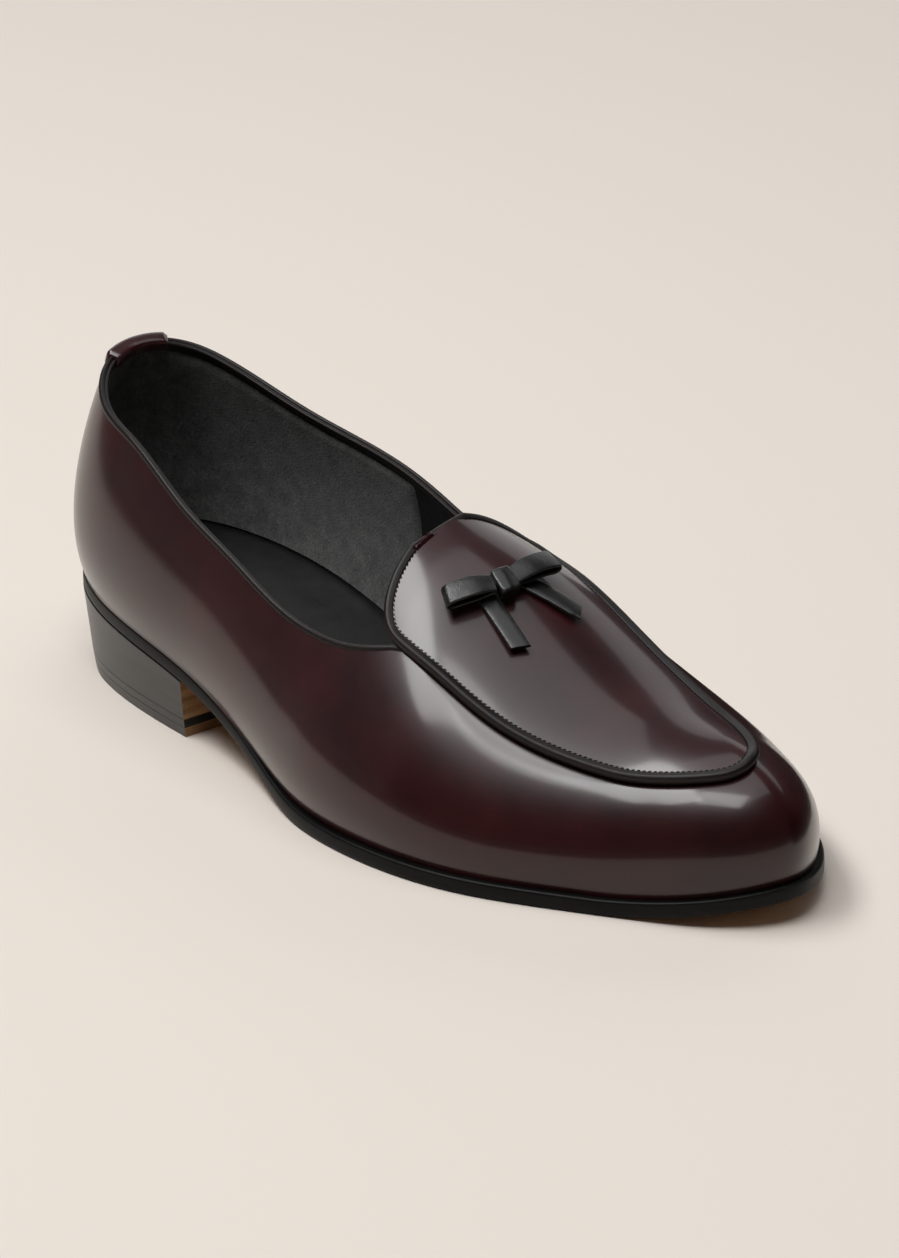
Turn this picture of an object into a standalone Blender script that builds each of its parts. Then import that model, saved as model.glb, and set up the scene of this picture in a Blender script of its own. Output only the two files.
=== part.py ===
"""Belgian loafer, right shoe: a low slipper with a bound topline, a bound apron whose rear end
stands free as a rounded tongue, a leather strip bow, a thin leather sole and a stacked heel.

Every size is in millimetres and becomes metres as a mesh is made. The toe points along +X, the
medial side (towards the other foot) is +Y, the lateral side is -Y and the shoe stands on z = 0.
X runs from the back of the heel until ORIGIN_X and ORIGIN_Y move the origin under the middle.
"""

import math

import bmesh
import bpy
import numpy as np

# Driving sizes, in millimetres
METRE = 0.001
ORIGIN_X = 145.5  # from the back of the heel to the middle of the whole shoe
ORIGIN_Y = -4.6  # the middle of the whole shoe, across
GAP = 0.3  # clearance between neighbouring pieces

WALL = 2.0  # leather and lining of the upper together
APRON_RISE = 1.5  # the apron stands this much above the wall at its seam
SOLE_THICKNESS = 4.8
SOLE_MARGIN = 2.3  # the sole reaches this far past the upper at the forepart
HEEL_MARGIN = 0.3  # and this far at the heel
INSOLE_THICKNESS = 2.5

HEEL_BREAST_X = 83.0  # the heel's flat front face
HEEL_TAPER = 1.8  # the heel narrows by this much from its seat to the floor
HEEL_BACK_TAPER = 2.7  # and by this much more at its very back
HEEL_BACK_LENGTH = 34.0  # the back's own taper has run out this far forward
TOP_PIECE_HEIGHT = 3.0  # the lift that meets the floor
BLACK_LIFT_HEIGHT = 2.4

BINDING_WIDTH = 2.3  # across the apron's seam
BINDING_HEIGHT = 2.9
TOPLINE_RISE = 3.1  # the topline's binding stands this high above the cut edge of the wall
TOPLINE_WIDTH = 3.1
THROAT_TRIM = 8.2  # the topline's binding stops this far short of the apron's
FREE_EDGE = 6.0  # the tongue's binding wraps its edge where the wall is further off than this
TAB_LENGTH, TAB_THICKNESS = 22.0, 1.1
TAB_OUTER_LEG, TAB_INNER_LEG = 10.0, 1.5

BOW_X, BOW_Y = 184.5, -8.4  # the knot's place on the apron, in plan
BOW_TURN = 10.8  # degrees that the bow turns its medial end towards the toe
STRIP = 1.1  # thickness of the bow's leather
KNOT_WIDTH, KNOT_LENGTH, KNOT_TOP = 5.6, 7.0, 6.5
LOOP_WIDTH, LOOP_HEIGHT, LOOP_LIFT = 5.8, 3.9, 2.1
LOOPS = {  # name: degrees swept back from straight across, length past the knot, side
    "bow_loop_lateral": (25.0, 13.6, -1.0),
    "bow_loop_medial": (2.0, 14.4, 1.0),
}
TAILS = {  # name: degrees from straight ahead, length, where it starts ahead and across, side
    "bow_tail_lateral": (-8.9, 16.9, -0.6, -5.2, -1.0),
    "bow_tail_medial": (24.7, 17.7, -0.6, 6.5, 1.0),
}
TAIL_WIDTH = 5.4
TAIL_SLANT = 0.25  # how much longer the inner edge is at the cut end, as a share of the width
TAIL_LIFT, TAIL_ARCH = 0.35, 1.4

# Each look is a colour (linear red, green and blue) and a roughness. No piece is metal.
LOOKS = {
    "burgundy_leather": ((0.036, 0.008, 0.010), 0.18),
    "black_leather": ((0.010, 0.009, 0.010), 0.35),
    "black_sole_leather": ((0.012, 0.011, 0.011), 0.45),
    "natural_sole_leather": ((0.42, 0.27, 0.15), 0.60),
    "stacked_heel_leather": ((0.020, 0.018, 0.017), 0.45),
    "black_lining_leather": ((0.014, 0.013, 0.013), 0.55),
}

# The last's sections. Each row is a line up the side of the last: it starts on the sole at
# (x_feather, y_feather), leaves it outwards by flare and upwards by rise, and comes over to the
# ridge at x_top from reach outside it and drop below it. The columns are x_feather, y_feather,
# x_top, flare, rise, reach and drop.
HEEL = (2.2, 0.0, 11.4, 8.2, 26.0, 6.9, 31.0)
TOE = (289.3, 4.5, 257.9, 4.8, 15.7, 25.2, 0.0)
LATERAL = {
    "counter": (6.2, -17.0, 16.6, 5.0, 26.0, 13.3, 31.0),
    "quarter": (21.8, -31.2, 30.7, 10.2, 26.6, 14.4, 29.7),
    "seat": (52.0, -40.6, 54.0, 10.4, 27.0, 16.1, 30.0),
    "waist": (88.4, -44.6, 89.4, 11.0, 27.0, 18.2, 26.6),
    "arch": (124.8, -49.8, 121.7, 14.6, 26.8, 24.7, 14.3),
    "instep": (156.0, -57.0, 151.8, 15.1, 26.1, 29.6, 3.2),
    "joint": (187.2, -58.0, 178.9, 12.4, 24.9, 28.4, 0.0),
    "ball": (217.4, -50.8, 204.9, 7.4, 20.9, 27.6, 0.0),
    "vamp": (242.5, -37.4, 224.6, 5.2, 18.7, 27.6, 0.0),
    "toe_wide": (261.1, -26.3, 240.2, 4.7, 18.0, 26.3, 0.0),
    "toe_mid": (275.9, -16.6, 250.6, 4.8, 16.8, 25.2, 0.0),
    "toe_near": (286.0, -5.4, 255.8, 4.8, 15.7, 25.0, 0.0),
}
MEDIAL = {
    "counter": (6.8, 13.5, 16.6, 7.4, 26.0, 11.7, 31.0),
    "quarter": (21.8, 24.8, 30.7, 8.1, 26.6, 11.4, 30.2),
    "seat": (52.0, 29.8, 54.0, 8.9, 27.1, 15.6, 29.5),
    "waist": (88.4, 28.0, 89.4, 11.8, 27.9, 18.1, 25.6),
    "arch": (124.8, 27.4, 121.7, 16.5, 28.7, 20.1, 13.6),
    "instep": (156.0, 32.2, 151.8, 17.6, 30.0, 24.3, 0.6),
    "joint": (187.2, 41.0, 178.9, 13.6, 27.1, 24.2, 0.0),
    "ball": (217.4, 49.0, 204.9, 7.5, 22.8, 25.9, 0.0),
    "vamp": (242.5, 48.0, 224.6, 5.0, 20.5, 25.4, 0.0),
    "toe_wide": (261.1, 39.5, 240.2, 4.4, 17.9, 25.0, 0.0),
    "toe_mid": (275.9, 27.0, 250.6, 4.4, 16.8, 25.1, 0.0),
    "toe_near": (286.0, 14.4, 255.8, 4.6, 15.8, 25.2, 0.0),
}

# The ridge over the last: how far across it lies and how high it is, at each x.
RIDGE = (  # x, y, z
    (11.4, -2.8, 102.9),
    (29.0, -1.3, 114.0),
    (54.0, -2.7, 112.0),
    (89.4, 0.5, 105.4),
    (121.7, 1.0, 91.5),
    (151.8, -0.5, 79.0),
    (178.9, 1.5, 71.0),
    (204.9, 3.0, 57.8),
    (224.6, 3.8, 49.2),
    (240.2, 4.6, 45.0),
    (257.9, 5.6, 43.4),
)
CONE_BACK, CONE_WIDEST, CONE_FRONT = 11.4, 57.0, 145.0  # the open top of the last, along x
CONE_HALF_WIDTH = 13.4

SOLE_UNDERSIDE = (  # x, height above the floor
    (-10.0, 25.6),
    (0.0, 25.1),
    (31.0, 23.2),
    (62.0, 21.0),
    (83.0, 18.1),
    (104.0, 12.6),
    (128.0, 4.6),
    (148.0, 0.7),
    (162.0, 0.0),
)
TREAD_START, TREAD_END = 162.0, 250.0  # flat on the floor between these
TOE_SPRING = 7.4  # the sole's underside at the tip of the toe
TOE_SPRING_POWER = 1.7

TOPLINE = (  # x, height of the lateral topline, height of the medial topline
    (0.0, 99.6, 98.3),
    (20.8, 87.5, 91.7),
    (46.8, 82.1, 82.7),
    (78.0, 70.3, 75.8),
    (104.0, 62.7, 71.4),
    (130.0, 55.5, 66.0),
    (156.0, 54.3, 65.1),
    (182.0, 60.0, 69.0),
)
TOPLINE_END = 190.0  # beyond this x the topline has run in under the apron
TOPLINE_BLEND = 16.0  # the width over which one side's height passes into the other's at the heel

APRON_BACK, APRON_FRONT = 152.0, 274.0  # ends of the apron, at the outer edge of its binding
APRON_BACK_ROUND, APRON_FRONT_ROUND = 20.0, 31.0
APRON_SQUARENESS = 2.2  # 2 rounds the apron's ends as ellipses, more makes them squarer
APRON_SIDES = (  # x, y of the lateral and of the medial outer edge, before the ends are rounded
    (152.0, -33.5, 24.5),
    (171.0, -38.0, 26.0),
    (187.0, -37.6, 25.4),
    (203.0, -35.8, 24.6),
    (220.0, -31.8, 23.6),
    (237.0, -25.6, 22.0),
    (255.0, -18.6, 18.6),
    (272.0, -14.0, 16.8),
)

# How finely the curved pieces are cut into faces.
WALL_ROWS = 8
APRON_ROWS = 5
REAR_COLUMNS = 23  # on each side, from the heel to the tongue
TONGUE_COLUMNS = 8
FRONT_COLUMNS = 20
PLANK_STATIONS = 40  # across the sole, the insole and the heel


# Curves and surfaces
def curve_through(knots, values):
    """A smooth curve of value over knot, straight at both ends."""
    k = np.asarray(knots, float)
    v = np.asarray(values, float)
    count = len(k)
    step = np.diff(k)
    slope = np.diff(v) / step
    matrix = np.zeros((count, count))
    right = np.zeros(count)
    matrix[0, 0] = 1.0
    matrix[-1, -1] = 1.0
    for i in range(1, count - 1):
        matrix[i, i - 1] = step[i - 1]
        matrix[i, i] = 2 * (step[i - 1] + step[i])
        matrix[i, i + 1] = step[i]
        right[i] = 6 * (slope[i] - slope[i - 1])
    bend = np.linalg.solve(matrix, right)

    def value(t):
        t = np.asarray(t, float)
        i = np.clip(np.searchsorted(k, t) - 1, 0, count - 2)
        s = t - k[i]
        first = slope[i] - step[i] * (2 * bend[i] + bend[i + 1]) / 6
        return v[i] + s * first + bend[i] * s**2 / 2 + (bend[i + 1] - bend[i]) * s**3 / (6 * step[i])

    return value


def closed_curve_through(knots, rows):
    """A smooth closed curve through rows of values. The last knot is where it comes round."""
    k = np.asarray(knots, float)
    v = np.asarray(rows, float)
    count = len(v)
    step = np.diff(k)
    around = np.concatenate([v, v[:1]], 0)
    slope = np.diff(around, axis=0) / step[:, None]
    matrix = np.zeros((count, count))
    right = np.zeros((count, v.shape[1]))
    for i in range(count):
        before = (i - 1) % count
        matrix[i, before] += step[before]
        matrix[i, i] += 2 * (step[before] + step[i])
        matrix[i, (i + 1) % count] += step[i]
        right[i] = 6 * (slope[i] - slope[before])
    bend = np.linalg.solve(matrix, right)
    bend = np.concatenate([bend, bend[:1]], 0)

    def value(t):
        t = np.asarray(t, float) % k[-1]
        i = np.clip(np.searchsorted(k, t, side="right") - 1, 0, count - 1)
        s = (t - k[i])[..., None]
        h = step[i][..., None]
        first = slope[i] - h * (2 * bend[i] + bend[i + 1]) / 6
        return around[i] + s * first + bend[i] * s**2 / 2 + (bend[i + 1] - bend[i]) * s**3 / (6 * h)

    return value


def ease(t):
    """0 to 1 with no corner at either end."""
    t = np.clip(t, 0.0, 1.0)
    return t * t * (3 - 2 * t)


def unit(vectors):
    return vectors / np.maximum(np.linalg.norm(vectors, axis=-1, keepdims=True), 1e-9)


UNDERSIDE_BACK = curve_through(*zip(*SOLE_UNDERSIDE))
RIDGE_Y = curve_through([row[0] for row in RIDGE], [row[1] for row in RIDGE])
RIDGE_Z = curve_through([row[0] for row in RIDGE], [row[2] for row in RIDGE])
TOPLINE_LATERAL = curve_through([row[0] for row in TOPLINE], [row[1] for row in TOPLINE])
TOPLINE_MEDIAL = curve_through([row[0] for row in TOPLINE], [row[2] for row in TOPLINE])
APRON_LATERAL = curve_through([row[0] for row in APRON_SIDES], [row[1] for row in APRON_SIDES])
APRON_MEDIAL = curve_through([row[0] for row in APRON_SIDES], [row[2] for row in APRON_SIDES])


def underside(x):
    """Height of the sole's underside: heel pitch, arch, flat tread and toe spring."""
    x = np.asarray(x, float)
    back = np.maximum(UNDERSIDE_BACK(np.minimum(x, TREAD_START)), 0.0)
    spring = np.clip((x - TREAD_END) / (TOE[0] + SOLE_MARGIN - TREAD_END), 0.0, 1.2)
    return np.where(x < TREAD_START, back, TOE_SPRING * spring**TOE_SPRING_POWER)


def sole_top(x):
    return underside(x) + SOLE_THICKNESS


def cone_half_width(x):
    behind = np.clip((CONE_WIDEST - x) / (CONE_WIDEST - CONE_BACK), 0.0, 1.0)
    ahead = np.clip((x - CONE_WIDEST) / (CONE_FRONT - CONE_WIDEST), 0.0, 1.0)
    return CONE_HALF_WIDTH * np.sqrt(1 - behind**3) * (1 - ease(ahead**2.2))


class Last:
    """The outside of the upper as a surface: u runs once round the feather line from the heel
    over the lateral side, v from the sole (0) to the ridge (1)."""

    def __init__(self):
        lateral = list(LATERAL.values())
        medial = list(MEDIAL.values())[::-1]
        rows = np.array([HEEL, *lateral, TOE, *medial], float)
        forward = np.roll(rows, -1, axis=0)
        steps = 0.6 * np.hypot(*(forward[:, :2] - rows[:, :2]).T)
        steps += 0.4 * np.abs(forward[:, 2] - rows[:, 2])
        knots = np.concatenate([[0.0], np.cumsum(steps)])
        knots /= knots[-1]
        self.sections = closed_curve_through(knots, rows)
        self.toe = knots[len(LATERAL) + 1]

    def control_points(self, u):
        x, y, x_top, flare, rise, reach, drop = np.moveaxis(self.sections(u), -1, 0)
        side = np.where(np.asarray(u) % 1.0 < self.toe, -1.0, 1.0)
        foot = np.stack([x, y, sole_top(x) + GAP], -1)
        y_top = RIDGE_Y(x_top) + side * cone_half_width(x_top)
        top = np.stack([x_top, y_top, RIDGE_Z(x_top)], -1)
        out = unit(foot[..., :2] - top[..., :2])
        slope = (RIDGE_Z(x_top + 0.5) - RIDGE_Z(x_top - 0.5)) * ease((x_top - 104.0) / 52.0)
        low = foot + np.concatenate([out * flare[..., None], rise[..., None]], -1)
        fall = slope * out[..., 0] * reach - drop
        high = top + np.concatenate([out * reach[..., None], fall[..., None]], -1)
        return foot, low, high, top

    def point(self, u, v):
        foot, low, high, top = self.control_points(u)
        v = np.asarray(v, float)[..., None]
        w = 1.0 - v
        return foot * w**3 + 3 * low * w * w * v + 3 * high * w * v * v + top * v**3

    def frame(self, u, v):
        """Unit vectors at a point: out of the surface, and up it towards the ridge."""
        v = np.minimum(v, 0.965)
        along = self.point(u + 5e-4, v) - self.point(u - 5e-4, v)
        up = unit(self.point(u, v + 5e-3) - self.point(u, v - 5e-3))
        out = unit(np.cross(along, up))
        return out, up


LAST = Last()


def apron_reach(points, inset):
    """Above 0 inside the apron's outline, drawn in by inset, and below 0 outside it."""
    x = points[..., 0]
    back = np.clip(1 - (x - APRON_BACK - inset) / (APRON_BACK_ROUND - inset), 0.0, 1.0)
    front = np.clip(1 - (APRON_FRONT - inset - x) / (APRON_FRONT_ROUND - inset), 0.0, 1.0)
    rounding = np.sqrt((1 - back**APRON_SQUARENESS) * (1 - front**APRON_SQUARENESS))
    at = np.clip(x, APRON_BACK, APRON_FRONT)
    lateral, medial = APRON_LATERAL(at), APRON_MEDIAL(at)
    across = np.abs(points[..., 1] - (lateral + medial) / 2)
    outside = np.maximum(APRON_BACK + inset - x, x - APRON_FRONT + inset)
    within = ((medial - lateral) / 2 - inset) * rounding - across
    return np.where(outside > 0, -outside - 0.2 * across, within)


def first_crossing(values):
    """Where each row of values first rises through 0, as a share of the row; 1 if it never does."""
    count = values.shape[1]
    above = values >= 0
    i = np.clip(np.argmax(above, axis=1), 1, count - 1)
    row = np.arange(len(values))
    low, high = values[row, i - 1], values[row, i]
    share = np.clip(-low / np.where(np.abs(high - low) < 1e-12, 1.0, high - low), 0.0, 1.0)
    return np.where(above.any(axis=1), (i - 1 + share) / (count - 1), 1.0)


def edge_heights(u, seam_inset, topline_drop):
    """v at the cut edge of the topline and v at the apron's seam, for each u."""
    samples = 241
    v = np.broadcast_to(np.linspace(0.0, 1.0, samples), (len(u), samples))
    points = LAST.point(np.repeat(u[:, None], samples, axis=1), v)
    lateral, medial = TOPLINE_LATERAL(points[..., 0]), TOPLINE_MEDIAL(points[..., 0])
    height = lateral + (medial - lateral) * ease(0.5 + points[..., 1] / TOPLINE_BLEND)
    topline = first_crossing(points[..., 2] - height + topline_drop)
    topline = np.where(points[:, 0, 0] > TOPLINE_END, 1.0, topline)
    inside = apron_reach(points, seam_inset)
    seam = 1.0 - first_crossing(-inside[:, ::-1])
    seam = np.where(inside[:, -1] >= 0, seam, 1.0)
    return topline, seam


class Columns:
    """The lines of u that the upper is cut along, and where each one's wall and apron end."""

    def __init__(self, rear, tongue, front):
        inset = BINDING_WIDTH + GAP
        u = np.linspace(0.0, 1.0, 3001)
        topline, seam = edge_heights(u, inset, TOPLINE_RISE)
        x_top = LAST.sections(u)[:, 2]
        lateral = u < LAST.toe
        ridge = np.linspace(APRON_BACK, APRON_BACK + APRON_BACK_ROUND, 400)
        on_ridge = np.stack([ridge, RIDGE_Y(ridge), RIDGE_Z(ridge)], -1)
        pole_x = ridge[np.argmax(apron_reach(on_ridge, inset) > 0)]
        pole_lateral = np.interp(pole_x, x_top[lateral], u[lateral])
        pole_medial = np.interp(pole_x, x_top[~lateral][::-1], u[~lateral][::-1])
        crossed = (seam < topline) & (x_top > pole_x)
        self.throat_lateral = u[np.argmax(crossed)]
        self.throat_medial = u[len(u) - 1 - np.argmax(crossed[::-1])]

        tried = pole_lateral + (self.throat_lateral - pole_lateral) * np.linspace(0.0, 1.0, 400) ** 3
        _, tried_v = edge_heights(tried, inset, TOPLINE_RISE)
        tried_v[0] = 1.0
        edge = LAST.point(tried, tried_v)
        length = np.concatenate([[0.0], np.cumsum(np.linalg.norm(np.diff(edge, axis=0), axis=1))])
        side = np.interp(np.linspace(0.0, length[-1], tongue + 1)[1:], length, tried)
        front_share = 1 - (1 - np.linspace(0.0, 1.0, front + 1)[1:]) ** 1.25
        side = np.concatenate([side, self.throat_lateral + (LAST.toe - self.throat_lateral) * front_share])
        ridge_x = LAST.sections(side)[:, 2]
        ridge_x[-1] = TOE[2]
        medial_x = x_top[~lateral][::-1]
        other = np.interp(ridge_x[:-1], medial_x, u[~lateral][::-1])
        nearest = int(np.argmin(np.abs(other - self.throat_medial)))
        other[nearest] = self.throat_medial
        rear_share = np.linspace(0.0, 1.0, rear + 1) ** 1.4
        start = pole_lateral * rear_share[:-1]
        end = (1 - (1 - pole_medial) * rear_share[::-1])[1:-1]
        self.u = np.concatenate([start, [pole_lateral], side, other[::-1], [pole_medial], end])
        self.count = len(self.u)
        self.pole_l = len(start)
        self.throat_l = self.pole_l + tongue
        self.toe = self.pole_l + len(side)
        self.pole_m = self.toe + len(side)
        self.throat_m = self.pole_m - 1 - nearest
        topline, seam = edge_heights(self.u, inset, TOPLINE_RISE)
        self.wall_v = topline.copy()
        front_columns = slice(self.throat_l, self.throat_m + 1)
        self.wall_v[front_columns] = seam[front_columns]
        self.apron_v = seam
        self.apron_v[[self.pole_l, self.pole_m]] = 1.0

    def partner(self, column):
        """The column that meets this one at the ridge."""
        return self.pole_l + self.pole_m - column


# Meshes
class Body:
    """Points and faces of one closed solid, in millimetres."""

    def __init__(self):
        self.points = []
        self.faces = []

    def add(self, points):
        start = len(self.points)
        self.points.extend(np.asarray(points, float).reshape(-1, 3))
        return list(range(start, len(self.points)))

    def face(self, *corners):
        kept = [c for i, c in enumerate(corners) if c != corners[i - 1]]
        if len(kept) > 2:
            self.faces.append(kept)

    def strip(self, first, second, closed=False):
        """Faces between two rows of points."""
        count = len(first)
        for i in range(count if closed else count - 1):
            j = (i + 1) % count
            self.face(first[i], first[j], second[j], second[i])

    def finish(self, name, look, sharp_angle=40.0):
        """The object of this name, with a material of its own in this look."""
        mesh = bpy.data.meshes.new(name)
        moved = (np.array(self.points) - (ORIGIN_X, ORIGIN_Y, 0.0)) * METRE
        mesh.from_pydata(moved.tolist(), [], self.faces)
        work = bmesh.new()
        work.from_mesh(mesh)
        bmesh.ops.triangulate(work, faces=[f for f in work.faces if len(f.verts) > 4])
        bmesh.ops.recalc_face_normals(work, faces=work.faces)
        if work.calc_volume(signed=True) < 0:
            bmesh.ops.reverse_faces(work, faces=work.faces)
        work.to_mesh(mesh)
        work.free()
        mesh.polygons.foreach_set("use_smooth", [True] * len(mesh.polygons))
        mesh.set_sharp_from_angle(angle=math.radians(sharp_angle))
        mesh.materials.append(material(f"{name}_{look}", *LOOKS[look]))
        bpy.context.scene.collection.objects.link(bpy.data.objects.new(name, mesh))


def material(name, colour, roughness):
    made = bpy.data.materials.new(name)
    made.use_nodes = True
    shader = made.node_tree.nodes["Principled BSDF"]
    shader.inputs["Base Color"].default_value = (*colour, 1.0)
    shader.inputs["Roughness"].default_value = roughness
    shader.inputs["Metallic"].default_value = 0.0
    made.diffuse_color = (*colour, 1.0)
    return made


# Upper
def make_upper(columns):
    """Wall, vamp and apron in one hollow solid, open at the collar and underneath."""
    body = Body()
    count = columns.count
    u = columns.u
    wall_rows = []
    for row in range(WALL_ROWS + 1):
        v = columns.wall_v * row / WALL_ROWS
        outer = LAST.point(u, v)
        out, _ = LAST.frame(u, v)
        inner = outer - out * WALL
        if row == 0:
            flat = unit(out * (1.0, 1.0, 0.0))
            inner = outer - flat * WALL
            inner[:, 2] = sole_top(inner[:, 0]) + GAP
        wall_rows.append((body.add(outer), body.add(inner)))
    for (outer, inner), (outer_up, inner_up) in zip(wall_rows, wall_rows[1:]):
        body.strip(outer, outer_up, closed=True)
        body.strip(inner, inner_up, closed=True)
    body.strip(wall_rows[0][0], wall_rows[0][1], closed=True)
    edge_out, edge_in = wall_rows[-1]

    pole, toe = columns.pole_l, columns.toe
    ridge_out, ridge_in = {}, {}
    for column in range(pole, toe + 1):
        other = columns.partner(column)
        pair = np.array([u[column], u[other]])
        top = LAST.point(pair, np.ones(2)).mean(axis=0)
        out = unit(LAST.frame(pair, np.ones(2))[0].mean(axis=0))
        points = body.add([top + out * APRON_RISE, top + out * (APRON_RISE - WALL)])
        ridge_out[column], ridge_in[column] = points
        ridge_out[other], ridge_in[other] = points

    outside, inside = {}, {}
    for column in range(pole, columns.pole_m + 1):
        if column in (columns.pole_l, columns.pole_m):
            outside[column] = [ridge_out[column]] * (APRON_ROWS + 1)
            inside[column] = [ridge_in[column]] * (APRON_ROWS + 1)
            continue
        share = np.linspace(0.0, 1.0, APRON_ROWS + 1)[:-1]
        v = columns.apron_v[column] + (1 - columns.apron_v[column]) * share
        line = np.full(APRON_ROWS, u[column])
        base = LAST.point(line, v)
        out, _ = LAST.frame(line, v)
        up_points = body.add(base + out * APRON_RISE)
        if columns.throat_l <= column <= columns.throat_m:
            down_points = [edge_in[column]] + body.add((base + out * (APRON_RISE - WALL))[1:])
        else:
            down_points = body.add(base + out * (APRON_RISE - WALL))
        outside[column] = up_points + [ridge_out[column]]
        inside[column] = down_points + [ridge_in[column]]

    for column in range(columns.pole_l, columns.pole_m):
        body.strip(outside[column], outside[column + 1])
        body.strip(inside[column], inside[column + 1])
        step = columns.throat_l <= column < columns.throat_m
        below = edge_out if step else {c: inside[c][0] for c in (column, column + 1)}
        body.face(outside[column][0], outside[column + 1][0], below[column + 1], below[column])
    for column in list(range(columns.throat_m, count)) + list(range(columns.throat_l)):
        following = (column + 1) % count
        body.face(edge_out[column], edge_out[following], edge_in[following], edge_in[column])
    for column in (columns.throat_l, columns.throat_m):
        body.face(edge_out[column], outside[column][0], edge_in[column])
    body.finish("upper", "burgundy_leather", 50.0)


# Sole, insole and heel
def outline(offset):
    """The feather line moved outwards by offset(x), as a closed line in plan from the heel."""
    u = np.linspace(0.0, 1.0, 721)[:-1]
    foot = LAST.sections(u)[:, :2]
    along = unit(np.roll(foot, -1, axis=0) - np.roll(foot, 1, axis=0))
    outward = np.stack([-along[:, 1], along[:, 0]], -1)
    if (outward[:, 0] * (foot[:, 0] - foot[:, 0].mean())).sum() < 0:
        outward = -outward
    return foot + outward * offset(foot[:, 0])[:, None]


def side_lines(line):
    """A closed outline as the two functions y(x) of its sides, with its ends in x and in y."""
    back = int(np.argmin(line[:, 0]))
    line = np.roll(line, -back, axis=0)
    tip = int(np.argmax(line[:, 0]))
    first = line[: tip + 1]
    second = np.concatenate([line[tip:], line[:1]])[::-1]
    if first[:, 1].mean() > second[:, 1].mean():
        first, second = second, first
    return first, second


def side_points(line, stations, stop=None):
    """x, and y of the lateral and of the medial side, at shares of the way along the outline or
    to the x where it stops."""
    lateral, medial = side_lines(line)
    start = lateral[0, 0]
    end = lateral[-1, 0] if stop is None else stop
    x = start + (end - start) * stations
    y_lateral = np.interp(x, np.maximum.accumulate(lateral[:, 0]), lateral[:, 1])
    y_medial = np.interp(x, np.maximum.accumulate(medial[:, 0]), medial[:, 1])
    return x, y_lateral, y_medial


def plank(name, look, rows, cut=None):
    """A solid between closed outlines, one above the other. Each row gives how far its outline
    lies outside the feather line and its height, both as functions of x. cut is the x of a
    flat front face."""
    body = Body()
    if cut is None:
        stations = (1 - np.cos(np.linspace(0.0, math.pi, PLANK_STATIONS + 2))) / 2
    else:
        stations = 1 - np.cos(np.linspace(0.0, math.pi / 2, PLANK_STATIONS // 2 + 2))
    rings = []
    for offset, height in rows:
        x, y_lateral, y_medial = side_points(outline(offset), stations, cut)
        z = height(x)
        back = body.add([[x[0], (y_lateral[0] + y_medial[0]) / 2, z[0]]])
        last = len(x) if cut is not None else len(x) - 1
        one = body.add(np.stack([x[1:last], y_lateral[1:last], z[1:last]], -1))
        two = body.add(np.stack([x[1:last], y_medial[1:last], z[1:last]], -1))
        tip = [] if cut is not None else body.add([[x[-1], (y_lateral[-1] + y_medial[-1]) / 2, z[-1]]])
        rings.append((back + one + tip, back + two + tip))
    for (one, two), (one_up, two_up) in zip(rings, rings[1:]):
        body.strip(one, one_up)
        body.strip(two, two_up)
    for one, two in (rings[0], rings[-1]):
        body.strip(one, two)
    if cut is not None:
        body.face(*[one[-1] for one, _ in rings], *[two[-1] for _, two in rings[::-1]])
    body.finish(name, look, 35.0)


def sole_offset(inset):
    return lambda x: HEEL_MARGIN + (SOLE_MARGIN - HEEL_MARGIN) * ease((x - 105.0) / 55.0) - inset


def make_outsole():
    rows = [
        (sole_offset(0.8), sole_top),
        (sole_offset(0.0), lambda x: sole_top(x) - 1.0),
        (sole_offset(0.0), lambda x: underside(x) + 1.2),
        (sole_offset(1.0), underside),
    ]
    plank("outsole", "black_sole_leather", rows)


def make_insole():
    def inset(x):
        return np.full(np.shape(x), -WALL - 0.5)

    rows = [
        (inset, lambda x: sole_top(x) + GAP),
        (inset, lambda x: sole_top(x) + GAP + INSOLE_THICKNESS),
    ]
    plank("insole", "black_lining_leather", rows)


def make_heel():
    """The stack under the sole, a black lift and the lift that meets the floor."""
    low = TOP_PIECE_HEIGHT
    middle = low + GAP + BLACK_LIFT_HEIGHT
    seat = float(underside(HEEL_BREAST_X))

    def outline_at(z):
        def offset(x):
            taper = HEEL_TAPER + HEEL_BACK_TAPER * (1 - ease(x / HEEL_BACK_LENGTH))
            return HEEL_MARGIN - taper * (1 - z / seat)

        return offset

    def level(z):
        return outline_at(z), lambda x: np.full(np.shape(x), z)

    under_sole = (outline_at(seat), lambda x: underside(x) - GAP)
    plank("heel_stack", "stacked_heel_leather", [under_sole, level(middle + GAP)], HEEL_BREAST_X)
    plank("heel_black_lift", "black_sole_leather", [level(middle), level(low + GAP)], HEEL_BREAST_X)
    plank("heel_top_piece", "natural_sole_leather", [level(low), level(0.0)], HEEL_BREAST_X)


# Bindings and heel tab
def sweep(name, look, path, side, up, sections, closed, sharp_angle=50.0):
    """Sections of (side, up) offsets, one for each point of a path with side and up vectors."""
    body = Body()
    rows = [body.add([p + s * a + t * b for a, b in section])
            for p, s, t, section in zip(path, side, up, sections)]
    for first, second in zip(rows, rows[1:] + (rows[:1] if closed else [])):
        body.strip(first, second, closed=True)
    if not closed:
        body.face(*rows[0])
        body.face(*rows[-1])
    body.finish(name, look, sharp_angle)


def topline_path(columns):
    """The middle of the wall's cut edge at each column, from the medial throat round the heel to
    the lateral throat, and how far along it each one is."""
    order = list(range(columns.throat_m, columns.count)) + list(range(columns.throat_l + 1))
    u, v = columns.u[order], columns.wall_v[order]
    out, up = LAST.frame(u, v)
    path = LAST.point(u, v) - out * WALL / 2
    length = np.concatenate([[0.0], np.cumsum(np.linalg.norm(np.diff(path, axis=0), axis=1))])
    return path, out, up, length


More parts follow.
